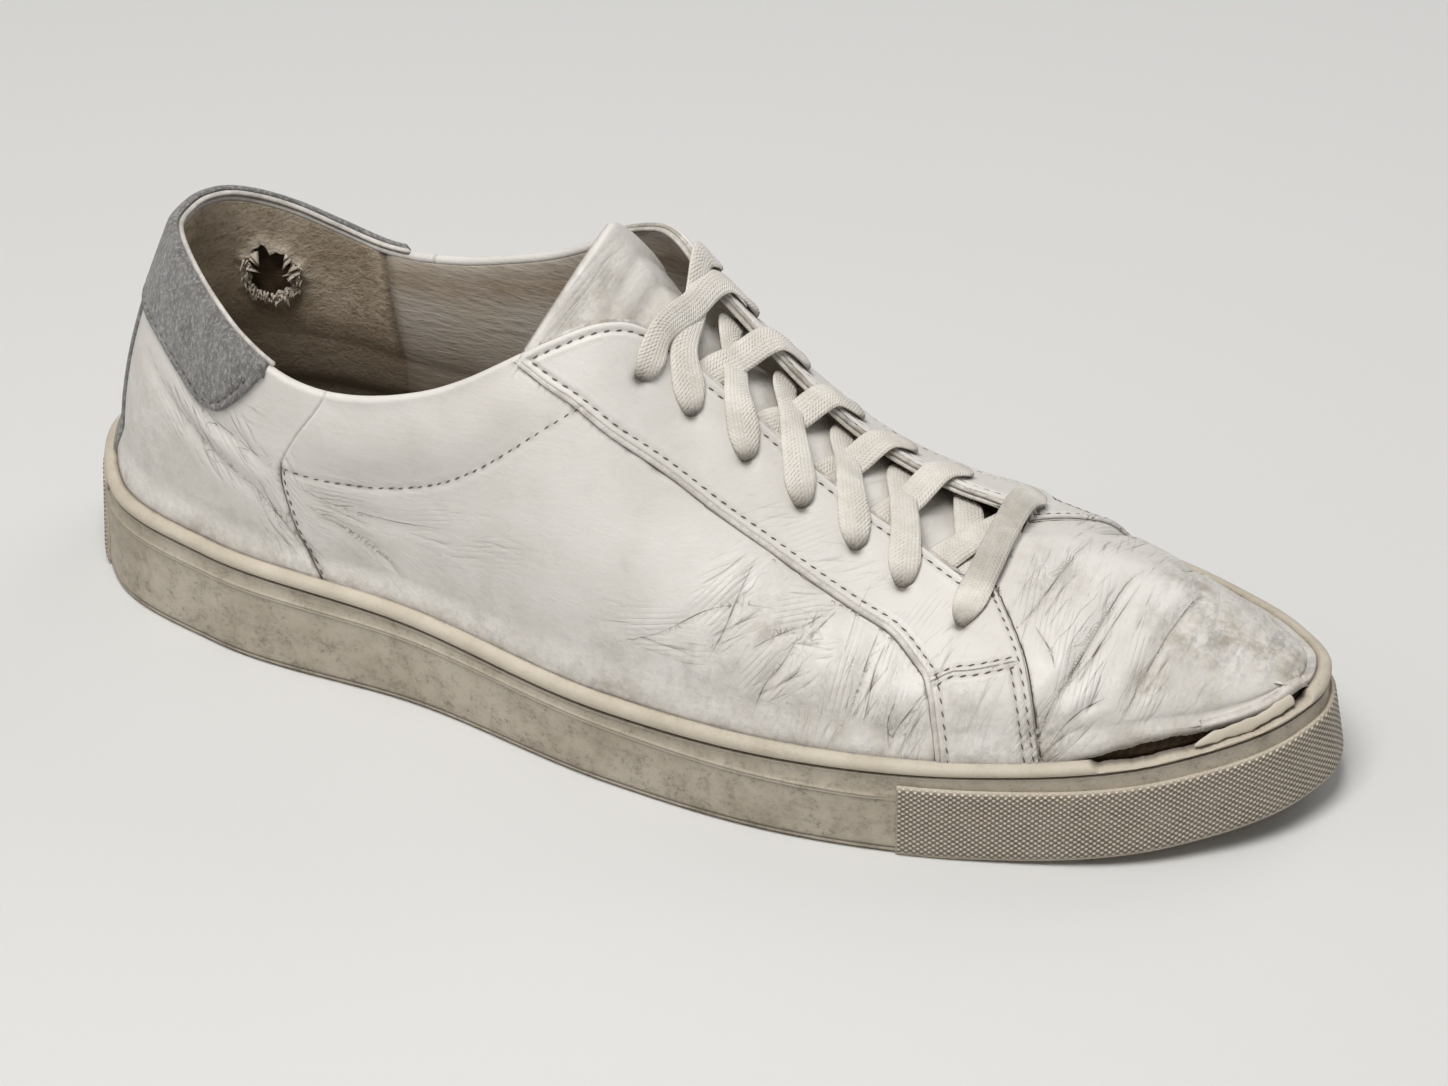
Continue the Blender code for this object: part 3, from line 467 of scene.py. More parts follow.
# Fields of fine creases. Slant is in degrees from toeward, upwards positive; strength is a share.
CREASES = (
    # u, v, reach along mm, reach up mm, slant, spread of slant, count, length mm, strength
    (-0.185, 0.5, 16, 9, -38, 9, 46, 24, 0.9), (-0.245, 0.33, 8, 12, -50, 12, 30, 20, 0.8),
    (-0.225, 0.8, 8, 5, 12, 20, 10, 8, 0.35), (-0.3, 0.42, 14, 8, -6, 12, 60, 12, 0.55),
    (-0.36, 0.4, 22, 8, 6, 14, 60, 11, 0.45), (-0.33, 0.2, 14, 9, -40, 20, 26, 14, 0.4),
    (-0.54, 0.24, 14, 5, 14, 16, 22, 16, 0.7), (-0.58, 0.4, 8, 12, 62, 22, 34, 17, 0.8),
    (-0.612, 0.26, 9, 10, 58, 16, 36, 16, 0.8), (-0.622, 0.44, 10, 8, 30, 20, 30, 16, 0.8),
    (-0.662, 0.32, 7, 13, 84, 10, 44, 17, 0.9), (-0.695, 0.18, 6, 9, 70, 16, 30, 13, 0.8),
    (-0.64, 0.1, 22, 4, 80, 22, 60, 7, 0.6), (-0.7, 0.52, 8, 9, 60, 25, 30, 11, 0.6),
    (-0.735, 0.28, 8, 12, 75, 30, 26, 8, 0.4), (-0.69, 0.72, 9, 7, 52, 20, 26, 10, 0.6),
    (-0.62, 0.76, 22, 6, 50, 25, 36, 9, 0.4), (-0.758, 0.8, 6, 13, 86, 14, 40, 16, 0.8),
    (-0.797, 0.55, 5, 20, 80, 10, 60, 22, 0.9), (-0.845, 0.55, 5, 18, 74, 12, 50, 18, 0.8),
    (-0.79, 0.12, 8, 6, 45, 20, 30, 12, 0.9), (-0.88, 0.4, 14, 12, 66, 24, 60, 9, 0.35),
    (-0.9, 0.9, 18, 14, 60, 30, 70, 7, 0.3), (0.15, 0.48, 16, 9, -38, 12, 34, 20, 0.7),
    (0.3, 0.4, 30, 10, 4, 18, 60, 12, 0.4), (0.61, 0.34, 14, 12, 66, 20, 60, 16, 0.8),
    (0.668, 0.34, 10, 13, 84, 12, 50, 16, 0.8), (0.78, 0.5, 9, 18, 84, 12, 60, 20, 0.9),
    (0.838, 0.5, 9, 16, 76, 14, 50, 16, 0.8), (0.9, 0.6, 16, 14, 60, 28, 60, 8, 0.5),
)

SOIL = (
    # u, v, reach mm, strength
    (-0.863, 0.74, 8, 0.75), (-0.885, 0.86, 12, 0.85), (-0.93, 0.95, 10, 0.9), (-0.965, 1.0, 9, 0.95),
    (-0.89, 0.4, 9, 0.3), (-0.848, 0.4, 6, 0.5), (-0.845, 0.8, 7, 0.55), (-0.756, 0.86, 8, 0.55),
    (-0.79, 0.08, 7, 0.7), (-0.735, 0.2, 8, 0.35), (-0.69, 0.14, 8, 0.45), (-0.64, 0.12, 12, 0.35),
    (-0.6, 0.42, 9, 0.3), (-0.56, 0.14, 12, 0.35), (-0.24, 0.06, 12, 0.3), (-0.12, 0.3, 16, 0.25),
    (-0.5, 0.1, 12, 0.25), (0.86, 0.8, 12, 0.6), (0.93, 0.9, 12, 0.8), (0.78, 0.3, 10, 0.4),
    (0.66, 0.2, 14, 0.4), (0.3, 0.2, 18, 0.25), (0.12, 0.3, 16, 0.3),
)

# Seams and stitches. Each table's places are (u, v) on the outer side; the inner side mirrors them.
HEEL_SEAM = (
    # v, share where the heel counter meets a quarter
    (0.0, 0.275), (0.12, 0.261), (0.31, 0.252), (0.525, 0.247), (0.73, 0.26), (0.96, 0.28), (1.0, 0.283),
)
COLLAR_STITCH = (
    # share, v
    (0.247, 0.525), (0.28, 0.542), (0.318, 0.558), (0.358, 0.604), (0.4, 0.672), (0.438, 0.735),
    (0.476, 0.792),
)
CROSS_SEAM = (
    # share, v, across the eyestay's foot
    (0.708, 0.345), (0.732, 0.362), (0.757, 0.41),
)
VAMP_REAR = (
    # v, share where the vamp starts, under the eyestay's front edge
    (0.0, 0.762), (0.28, 0.748), (0.5, 0.732), (0.744, 0.704), (0.9, 0.686), (0.985, 0.684), (1.0, 0.7205),
)
TORN = (
    # share, mm by which the vamp's lower edge has come away on the outer side
    (0.7, 0.0), (0.795, 0.0), (0.806, 0.9), (0.82, 1.9), (0.845, 2.7), (0.865, 2.9), (0.88, 2.5),
    (0.892, 1.7), (0.91, 1.4), (0.955, 1.4), (0.966, 1.8), (0.976, 1.6), (0.985, 0.2), (1.0, 0.0),
)
HOLE = (0.135, 0.66, 6.5, 8.0)  # the lining's worn hole: u, v, half width mm, half height mm
LINING_SEAM = 0.240  # share where the heel's lining meets a quarter's
TONGUE_FOLDS = (
    # step, slant over half the width, depth mm
    (1.3, 0.25, 0.4), (2.4, -0.2, 0.3), (5.1, 0.35, 0.35), (6.2, -0.3, 0.45), (7.0, 0.25, 0.35),
    (7.9, -0.2, 0.4), (8.7, 0.3, 0.35),
)
TONGUE_LIFT = (
    # step, mm, share of the edges' drop
    (0.0, 1.5, 0.6), (1.0, 2.0, 0.6), (2.0, 2.6, 0.6), (3.0, 1.8, 0.7), (4.5, 0.6, 0.9), (6.0, 0.0, 1.0),
    (10.0, 0.0, 1.0),
)
SIDE_PROFILE = (
    # what the height is measured from, rise mm (a share on the band), proud mm, soil, grime (painted shade
    # too on the lip's inner face)
    ("floor", 1.6, -6.0, 0.8, 0.4), ("floor", 1.6, -3.0, 0.8, 0.4), ("floor", 0.2, -2.4, 0.8, 0.0),
    ("floor", 0.0, -1.6, 0.8, 0.0), ("floor", 0.2, -0.8, 0.8, 0.1), ("floor", 0.7, -0.25, 0.75, 0.1),
    ("floor", 1.2, 0.0, 0.7, 0.1), ("floor", 1.45, -0.02, 0.7, 0.5), ("floor", 1.6, -0.3, 0.7, 0.9),
    ("floor", 1.75, -0.3, 0.7, 0.9), ("floor", 1.9, -0.05, 0.7, 0.4), ("floor", 2.4, 0.0, 0.68, 0.1),
    ("floor", 3.6, 0.05, 0.62, 0.0), ("floor", 5.5, 0.05, 0.52, 0.0), ("floor", 8.0, 0.02, 0.42, 0.0),
    ("rib", -3.0, 0.0, 0.35, 0.0), ("rib", -1.1, 0.0, 0.3, 0.0), ("rib", -0.75, 0.0, 0.3, 0.25),
    ("rib", -0.55, 0.3, 0.2, 0.0), ("rib", -0.3, 0.42, 0.15, 0.0), ("rib", -0.1, 0.22, 0.2, 0.2),
    ("rib", 0.1, 0.22, 0.2, 0.2), ("rib", 0.3, 0.42, 0.15, 0.0), ("rib", 0.5, 0.15, 0.25, 0.25),
    ("rib", 0.75, -0.22, 0.3, 0.35), ("band", 0.0, -0.38, 0.28, 0.1), ("band", 0.25, -0.5, 0.26, 0.0),
    ("band", 0.5, -0.55, 0.26, 0.0), ("band", 0.75, -0.52, 0.26, 0.0), ("band", 1.0, -0.42, 0.24, 0.0),
    ("top", -4.45, -0.3, 0.2, 0.0), ("top", -4.25, -0.12, 0.1, 0.0), ("top", -4.1, -0.2, 0.2, 0.3),
    ("top", -4.0, -0.8, 0.3, 0.9), ("top", -3.8, -1.3, 0.3, 1.0), ("top", -3.55, -1.3, 0.3, 1.0),
    ("top", -3.35, -0.8, 0.3, 0.8), ("top", -3.22, -0.15, 0.15, 0.25), ("top", -2.9, 0.2, 0.05, 0.0),
    ("top", -2.4, 0.4, 0.05, 0.0), ("top", -1.8, 0.46, 0.05, 0.0), ("top", -1.2, 0.34, 0.05, 0.0),
    ("top", -0.7, 0.05, 0.05, 0.0), ("top", -0.3, -0.35, 0.05, 0.0), ("top", 0.0, -0.85, 0.1, 0.0),
    # From here the rows turn down the lip's inner face into the cup, darker the deeper they go: painted
    # shade inside the shoe, with its dirt.
    ("top", 0.18, -1.35, 0.1, 0.0), ("top", 0.18, -1.85, 0.2, 0.1), ("top", -0.05, -2.25, 0.3, 0.3),
    ("top", -0.4, -2.6, 0.4, 0.6), ("top", -0.9, -2.95, 0.6, 1.0), ("top", -2.0, -3.4, 0.6, 1.0),
    ("top", -3.4, -4.0, 0.6, 1.0), ("cup", 0.0, -4.2, 0.6, 0.5),
)
BEAD = (
    # share, height of the bead as a share of its profile
    (0.0, 0.86), (0.25, 0.9), (0.45, 1.02), (0.62, 0.92), (0.72, 0.78), (0.9, 0.78), (1.0, 0.9),
)
CUT = (0.813, 0.981)  # shares between which the bead is torn away on the outer side
CUT_LEVEL = -1.75  # mm
EYESTAY_LIFT = 1.1 * MM  # of the eyestay's face over the quarter's
TAB_LIFT = 1.3 * MM
INNER_TAB = 1.12  # how much longer the heel tab is along the inner side
STRIP_LIFT = 0.9 * MM
FOLDED = 0.8 * MM  # radius of an overlay's folded edge
GUARD_LIFT = 0.45 * MM

FAR = 20 * MM  # further off than any mark reads
HAIR_REACH = 0.90 * MM
HAIR_FADE = 0.35 * MM
GROOVE_DEPTH = 0.35  # mm, under a row of stitches
GROOVE_WIDTH = 0.55  # mm
SEAM_DEPTH = 0.3  # mm
SEAM_WIDTH = 0.45  # mm


def walk(places, count):
    """Points along a smooth line through (u, v) places on the upper's outer face."""
    rows = [(i, *place) for i, place in enumerate(places)]
    at = np.linspace(0, len(places) - 1, count)
    return wall(spline(rows, at, 1), spline(rows, at, 2))


def fade(count, sharpness=0.6):
    """Weights that rise from 0 at a line's start and fall back to 0 at its end."""
    return np.sin(np.linspace(0, math.pi, count)) ** sharpness


def beside(u, v, off):
    """Places moved across the wall by `off`, upwards from a line that runs towards the toe."""
    outward, _, _ = wall_axes(u, v)
    aside = np.cross(outward, unit(np.gradient(wall(u, v), axis=0))) * -np.sign(u)[:, None]
    low, high = np.clip(v - STEP, 0, 1), np.clip(v + STEP, 0, 1)
    per_u = (wall(u + STEP, v) - wall(u - STEP, v)) / (2 * STEP)
    per_v = (wall(u, high) - wall(u, low)) / (high - low)[:, None]
    uu, uv, vv = ((a * b).sum(axis=1) for a, b in ((per_u, per_u), (per_u, per_v), (per_v, per_v)))
    along, up = (off * (per * aside).sum(axis=1) for per in (per_u, per_v))
    area = uu * vv - uv * uv
    return u + (vv * along - uv * up) / area, np.clip(v + (uu * up - uv * along) / area, 0, 1)


def eyestay_line(side, first, last, column, inset):
    """Places along an eyestay's rear (column 1) or front (column 3) edge, moved in from it."""
    step = np.linspace(first, last, 240)
    share, v = spline(EYESTAY, step, column), spline(EYESTAY, step, column + 1)
    inwards = 1 if column == 1 else -1
    return beside(side * share, np.clip(v, 0.002, 0.998), inwards * inset)


def table_line(side, rows, off=0.0):
    """Places along a table's line of (share, v) rows."""
    at = np.linspace(0, len(rows) - 1, 240)
    numbered = [(i, *row) for i, row in enumerate(rows)]
    return beside(side * spline(numbered, at, 1), spline(numbered, at, 2), off)


def stitch_rows():
    """Every row of stitches on the upper: u, v and how far its panel's face is over the wall."""
    rows = []
    for side in (-1, 1):
        on_eyestay = [
            eyestay_line(side, 0.2, 10, 1, 1.7 * MM),
            eyestay_line(side, 0.1, 2.6, 3, 1.8 * MM),
            eyestay_line(side, 2.6, 6.3, 3, 2.0 * MM),
            eyestay_line(side, 6.4, 10, 3, 1.2 * MM),
            eyestay_line(side, 8.3, 10, 3, 3.2 * MM),
            table_line(side, CROSS_SEAM),
            table_line(side, CROSS_SEAM, 2.2 * MM),
        ]
        rows += [(u, v, EYESTAY_LIFT) for u, v in on_eyestay]
        seam_v = np.linspace(0.0, 0.525, 60)
        rows.append((*table_line(side, COLLAR_STITCH), 0.0))
        rows.append((side * (seam_share(seam_v) + 0.0035), seam_v, 0.0))
        tab_u, tab_v = table_line(side, HEEL_TAB[:-1], 1.6 * MM)
        rows.append((tab_u * (INNER_TAB if side > 0 else 1.0), tab_v, TAB_LIFT))
    return rows


def seams():
    """The dark lines where one panel ends on another: u, v and how dark."""
    found = []
    for side in (-1, 1):
        seam_v = np.linspace(0.0, 0.56, 240)
        found += [
            (side * seam_share(seam_v), seam_v, 0.45),
            (*eyestay_line(side, 0.0, 10, 1, -1.0 * MM), 0.8),
            (*eyestay_line(side, 2.8, 10, 3, -0.4 * MM), 1.3),
            (*table_line(side, CROSS_SEAM, 1.1 * MM), 0.6),
        ]
    return found


def fine_creases():
    """Points, directions and weights along the single creases, from the table of fields."""
    rng = np.random.default_rng(7)
    points, weights = [], []
    for u, v, along, up, slant, spread, count, length, strength in CREASES:
        per_u, per_v = stretch(u, v)
        toeward = math.copysign(1.0, u)
        for _ in range(max(2, count // 9)):
            middle = rng.normal(0, 0.5, 2) * (along, up) * MM
            angle = math.radians(slant + rng.normal(0, spread / 2))
            size = length * rng.uniform(0.5, 1.2) * MM
            run = np.linspace(-0.5, 0.5, max(6, int(size / (0.4 * MM))))
            bend = rng.normal(0, 0.05) * np.cos(run * math.pi) + rng.normal(0, 0.012) * np.sin(run * 17)
            x = middle[0] + size * (run * math.cos(angle) - bend * math.sin(angle))
            y = middle[1] + size * (run * math.sin(angle) + bend * math.cos(angle))
            points.append(wall(u + toeward * x / per_u, np.clip(v + y / per_v, 0.01, 1.6)))
            weights.append(fade(len(run), 0.8) * strength * rng.uniform(0.3, 0.8))
    for depth, _, places in FOLDS:
        if depth > 0:
            points.append(walk(places, 200))
            weights.append(fade(200, 0.5) * (0.95 + 0.35 * np.sin(np.linspace(0, 19, 200))))
    for u, v, strength in seams():
        points.append(wall(u, v))
        weights.append(np.full(len(u), 1.7 * strength))
    ahead = [unit(np.gradient(line, axis=0)) for line in points]
    return np.vstack(points), np.vstack(ahead), np.concatenate(weights)


def stretch(u, v):
    """Metres on the upper's face for one unit of u and for one of v."""
    per_u = np.linalg.norm(wall(u + STEP, v) - wall(u - STEP, v)) / (2 * STEP)
    return per_u, np.linalg.norm(wall(u, v + STEP) - wall(u, v - STEP)) / (2 * STEP)


def wrinkled(points):
    """The way that fine wrinkles run: mm along and across them, and how strong they are."""
    along, across = np.zeros(len(points)), np.zeros(len(points))
    best, second, strengths = (np.zeros(len(points)) for _ in range(3))
    for u, v, reach, up, slant, _, _, _, strength in CREASES:
        here = wall(u, v)
        outward, upward, toeward = axes_at(u, v)
        upward = upward - toeward * np.dot(upward, toeward)
        off = (points - here) / MM
        x, y, z = off @ toeward, off @ unit(upward), off @ outward
        turn = math.radians(slant)
        weight = np.clip(1 - (x / (1.5 * reach)) ** 2 - (y / (1.5 * up)) ** 2 - (z / 14) ** 2, 0, 1) ** 1.5
        weight *= strength
        wins = weight > best
        second = np.where(wins, best, np.maximum(second, weight))
        along = np.where(wins, x * math.cos(turn) + y * math.sin(turn), along)
        across = np.where(wins, y * math.cos(turn) - x * math.sin(turn), across)
        strengths = np.where(wins, strength, strengths)
        best = np.maximum(best, weight)
    return along, across, np.clip(2.5 * (best - second), 0, 1) * strengths


@cache
def lines():
    """Depth mm, width mm, dirt, weights and points of every fold, stitched groove and seam."""
    found = []
    for depth, width, places in FOLDS:
        found.append((depth, width, max(0.55 * depth, 0.0), fade(160), walk(places, 160)))
    for u, v, _ in stitch_rows():
        found.append((GROOVE_DEPTH, GROOVE_WIDTH, 0.55, np.ones(len(u)), wall(u, v)))
    for u, v, strength in seams():
        found.append((SEAM_DEPTH, SEAM_WIDTH, strength, np.ones(len(u)), wall(u, v)))
    return found


def relief(points, outward):
    """Height of the folds at each point of the upper, and its marks: grime, soil and fine creases."""
    height, grime = np.zeros(len(points)), np.zeros(len(points))
    for depth, width, dirt, weight, path in lines():
        reach = 4 * width * MM
        near = np.all((points > path.min(axis=0) - reach) & (points < path.max(axis=0) + reach), axis=1)
        if not near.any():
            continue
        off = np.linalg.norm(points[near, None] - path[None], axis=2)
        nearest = off.argmin(axis=1)
        away = off[np.arange(len(off)), nearest] / (width * MM)
        share = weight[nearest]
        banks = 0.35 * bell(away, 2, 1) if depth > 0 else 0
        height[near] -= depth * MM * share * (bell(away, 0, 1) - banks)
        grime[near] = np.maximum(grime[near], share * dirt * bell(2.5 * away, 0, 1))
    soil = np.zeros(len(points))
    for u, v, reach, strength in SOIL:
        off = np.linalg.norm(points - wall(u, v), axis=1) / (reach * MM)
        soil = np.maximum(soil, strength * bell(off, 0, 1))
    hair, hair_weight = nearest_crease(points, outward)
    along, across, crease = wrinkled(points)
    marks = {"grime": grime, "soil": soil, "hair": hair, "hair_weight": hair_weight}
    return height, {**marks, "along": along, "across": across, "crease": crease}


@cache
def crease_tree():
    """A search tree of the points along the fine creases, with their directions and weights."""
    spots, ahead, weights = fine_creases()
    tree = KDTree(len(spots))
    for i, spot in enumerate(spots):
        tree.insert(spot, i)
    tree.balance()
    return tree, spots, ahead, weights


def nearest_crease(points, outward):
    """Signed distance in mm to the nearest fine crease, and that crease's weight there."""
    tree, spots, ahead, weights = crease_tree()
    found = np.array([tree.find(point)[1] for point in points])
    off = points - spots[found]
    size = np.linalg.norm(off, axis=1)
    side = np.sign(np.einsum("ij,ij->i", np.cross(outward, ahead[found]), off) + 1e-12)
    near = ramp(size, HAIR_REACH, -HAIR_FADE)
    return side * np.minimum(size, FAR) / MM, weights[found] * near


# Shader maths

CRACKS = (
    # mm from one to the next, slant to the wrinkles, wander, strength
    (3.3, 0.00, 2.6, 1.0),
    (2.3, 0.18, 2.4, 0.8),
    (1.3, -0.12, 1.6, 0.5),
)
KNOB_ROW = 0.39  # pitches from one row of knobs to the next
PICK_PITCH = 0.95  # mm along the lace
RIB_PITCH = 0.85  # mm across the lace


class Value:
    """A shader socket that adds and multiplies as a number does."""

    def __init__(self, look, socket):
        self.look, self.socket = look, socket

    def math(self, operation, *others):
        return self.look.node("Math", {"operation": operation}, dict(enumerate((self, *others))))

    def __add__(self, other):
        return self.math("ADD", other)

    def __sub__(self, other):
        return self.math("SUBTRACT", other)

    def __rsub__(self, other):
        return self.look.node("Math", {"operation": "SUBTRACT"}, {0: other, 1: self})

    def __mul__(self, other):
        return self.math("MULTIPLY", other)

    def __truediv__(self, other):
        return self.math("DIVIDE", other)

    def __pow__(self, other):
        return self.math("POWER", other)

    def __neg__(self):
        return self.math("MULTIPLY", -1.0)

    __radd__ = __add__
    __rmul__ = __mul__

    def clamp(self):
        """Held between 0 and 1."""
        return self.look.node("Clamp", {}, {"Value": self})

    def smooth(self, low, high):
        """0 below low, 1 above high and a soft rise between, or the reverse where low is above high."""
        sockets = {"Value": self, "From Min": low, "From Max": high}
        return self.look.node("MapRange", {"interpolation_type": "SMOOTHSTEP"}, sockets)

    def bell(self, width):
        """1 where the value is 0, falling off over `width` to both sides."""
        return (-((self / width) ** 2.0)).math("EXPONENT")


class Look:
    """A material under construction, with one method that makes its nodes."""

    def __init__(self, name, **fixed):
        self.material = bpy.data.materials.new(name)
        self.material.use_nodes = True
        self.tree = self.material.node_tree
        self.shader = self.tree.nodes["Principled BSDF"]
        for label, value in fixed.items():
            self.shader.inputs[label.replace("_", " ")].default_value = value

    def node(self, kind, settings, sockets, out=0):
        """A new node of a kind, its settings first, then its sockets' values or links."""
        made = self.tree.nodes.new("ShaderNode" + kind)
        for label, value in settings.items():
            setattr(made, label, value)
        for label, value in sockets.items():
            self.feed(made.inputs[label], value)
        return Value(self, made.outputs[out])

    def feed(self, socket, value):
        """Link a socket to a value, or set it to a number or a colour."""
        if isinstance(value, Value):
            self.tree.links.new(value.socket, socket)
        else:
            socket.default_value = value

    def mark(self, name):
        """One of the marks that a piece's vertices carry."""
        return self.node("Attribute", {"attribute_name": name}, {}, out="Fac")

    def places(self, scale=(1.0, 1.0, 1.0), turn=(0.0, 0.0, 0.0)):
        """Object coordinates in millimetres, stretched and turned."""
        source = self.node("TexCoord", {}, {}, out="Object")
        stretch = tuple(1000.0 * s for s in scale)
        radians = tuple(math.radians(t) for t in turn)
        return self.node("Mapping", {}, {"Vector": source, "Scale": stretch, "Rotation": radians})

    def noise(self, size, detail=3.0, roughness=0.55, at=None):
        """Cloudy noise from 0 to 1 whose patches are about `size` mm."""
        vector = at or self.places()
        sockets = {"Vector": vector, "Scale": 1.0 / size, "Detail": detail, "Roughness": roughness}
        return self.node("TexNoise", {}, sockets)

    def cells(self, size):
        """Cellular pattern with soft cells of about `size` mm."""
        sockets = {"Vector": self.places(), "Scale": 1.0 / size}
        return self.node("TexVoronoi", {"feature": "SMOOTH_F1"}, sockets)

    def blend(self, factor, first, second):
        """One colour into another."""
        sockets = {0: factor, 6: first, 7: second}
        return self.node("Mix", {"data_type": "RGBA", "clamp_factor": True}, sockets, out=2)

    def coats(self, base, *coats):
        """A colour with others laid over it in turn, each a factor and a colour's name."""
        for factor, name in coats:
            base = self.blend(factor, base, colour(name))
        return base

    def finish(self, colour, roughness=None, height=None, strength=1.0):
        """Feed the shader. The height is in millimetres."""
        self.feed(self.shader.inputs["Base Color"], colour)
        if roughness is not None:
            self.feed(self.shader.inputs["Roughness"], roughness)
        if height is not None:
            sockets = {"Height": height, "Distance": MM, "Strength": strength}
            self.feed(self.shader.inputs["Normal"], self.node("Bump", {}, sockets))
        return self.material


def colour(name):
    """One of the colours that the user may change, as four numbers."""
    return (*getattr(bpy.context.scene.sneaker_colours, name), 1.0)


def leather_look(name):
    """Smooth white leather: pebbled grain, fine creases, grey soil and scuffs."""
    look = Look(name, Specular_IOR_Level=0.42)
    patches, cloudy, specks = look.noise(22, 4), look.noise(8, 6, 0.62), look.noise(1.4, 6, 0.75)
    rubbed = look.noise(2.2, 7, 0.75, look.places((1.0, 0.32, 1.0), (0, 0, 35)))
    wrinkles = look.noise(2.0, 5, 0.65, look.places((0.35, 1.0, 1.3), (0, -20, 0)))
    hair, bank = (look.mark("hair").bell(width) * look.mark("hair_weight") for width in (0.15, 0.60))
    soil, grime = look.mark("soil"), look.mark("grime")
    crack, ripple = leather_cracks(look)
    stained = soil * 1.3 * (cloudy * 1.1 + specks * 0.6).smooth(0.60, 1.12)
    dirt = (stained + cloudy.smooth(0.52, 0.8) * 0.18).clamp()
    base = look.coats(
        colour("leather"),
        (patches.smooth(0.35, 0.75) * 0.75, "leather_shade"),
        (dirt * 0.88, "soil"),
        ((soil * rubbed.smooth(0.47, 0.60)).clamp() * 0.62, "scuff"),
        (specks.smooth(0.62, 0.72) * (0.08 + soil * 0.8) * 0.5, "grime"),
        ((grime * (0.45 + specks * 0.7)).clamp() * 0.80, "grime"),
        ((hair * 0.60 + crack * 0.42).clamp(), "grime"),
    )
    height = (1.0 - look.cells(0.75)) * 0.04 + wrinkles * 0.13 + specks * 0.03 - hair * 0.16 + bank * 0.07
    roughness = 0.42 + patches * 0.12 + dirt * 0.25
    return look.finish(base, roughness, height - crack * 0.12 - ripple * 0.06)


def leather_cracks(look):
    """Thin wandering cracks across the leather's wrinkles, and the soft ripples between them."""
    along, across, crease = look.mark("along"), look.mark("across"), look.mark("crease")
    crack, ripple = 0.0, 0.0
    for number, (pitch, slant, wander, strength) in enumerate(CRACKS):
        level = 3.0 * number
        drifting = look.node("CombineXYZ", {}, {0: along * 0.30, 1: across * 0.8, 2: level})
        showing = look.node("CombineXYZ", {}, {0: along * 0.5, 1: across * 1.2, 2: level + 40.0})
        turns = (across + along * slant) / pitch + look.noise(8, 1, 0.4, drifting) * wander
        wave = (turns * math.tau).math("COSINE")
        there = look.noise(8, 3, 0.55, showing).smooth(0.48, 0.62) * crease * strength
        crack = wave.smooth(0.86, 1.0) * there + crack
        ripple = wave * there + ripple
    return crack, ripple


def suede_look():
    """Napped suede: brushed patches, short fibres and soil."""
    look = Look("grey suede", Specular_IOR_Level=0.15, Sheen_Weight=0.25, Sheen_Roughness=0.5)
    brushed = look.noise(5, 5, 0.65, look.places((1.0, 1.0, 0.5), (0, 25, 0)))
    fibres = look.noise(0.8, 4, 0.75, look.places((1.0, 1.0, 0.55), (0, 30, 20)))
    base = look.coats(
        colour("suede"),
        (brushed.smooth(0.3, 0.7), "suede_shade"),
        (fibres.smooth(0.47, 0.64) * 0.75, "nap"),
        (fibres.smooth(0.46, 0.34) * 0.6, "suede_shade"),
        ((look.mark("soil") * look.noise(9, 4).smooth(0.3, 0.65)).clamp() * 0.8, "soil"),
        ((look.mark("grime") * 0.7).clamp(), "grime"),
    )
    return look.finish(base, 0.95, fibres * 0.50 + look.noise(1.6, 4, 0.7) * 0.35)


def lining_look():
    """Napped lining round the heel and smooth lining leather in the quarters, soiled and rubbed, with
    painted shade in the leather's wrinkles and low in the shoe.
    """
    look = Look("lining", Specular_IOR_Level=0.2)
    heel = look.mark("heel").smooth(0.3, 0.7)
    patches = look.noise(12, 4)
    tufts, curls = look.noise(1.1, 5, 0.75), look.noise(2.6, 5, 0.7)
    wrinkles = look.noise(2.4, 5, 0.65, look.places((0.4, 1.0, 1.4), (0, 8, 0)))
    fuzz = look.coats(
        colour("heel_lining"),
        (patches.smooth(0.35, 0.65) * 0.7, "heel_shade"),
        ((tufts + curls).smooth(0.98, 1.20) * 0.60, "lining_soil_and_shade"),
        ((tufts + curls).smooth(0.96, 0.78) * 0.50, "lining"),
    )
    leather = look.coats(
        colour("lining"),
        (patches.smooth(0.35, 0.7) * 0.5, "leather_shade"),
        # Painted shade in the lining leather's wrinkles.
        (wrinkles.smooth(0.54, 0.76) * 0.34, "grime"),
    )
    base = look.coats(
        look.blend(heel, leather, fuzz),
        # The soil and grime marks; low in the shoe they are partly painted shade.
        ((look.mark("soil") * (0.35 + look.noise(7, 5, 0.65) * 1.3)).clamp() * 0.85, "lining_soil_and_shade"),
        (look.mark("grime").clamp() * 0.88, "grime"),
        (look.mark("raw").clamp() * 0.85, "lining"),
    )
    height = wrinkles * (1.0 - heel) * 0.42 + (tufts * 0.5 + curls * 0.8) * heel
    return look.finish(base, 0.55 + heel * 0.35, height)


def thread_look():
    """Twisted thread."""
    look = Look("thread", Roughness=0.8, Specular_IOR_Level=0.2)
    twist = look.noise(0.35, 2, 0.6)
    return look.finish(look.blend(twist, colour("thread"), colour("grime")), None, twist * 0.05)


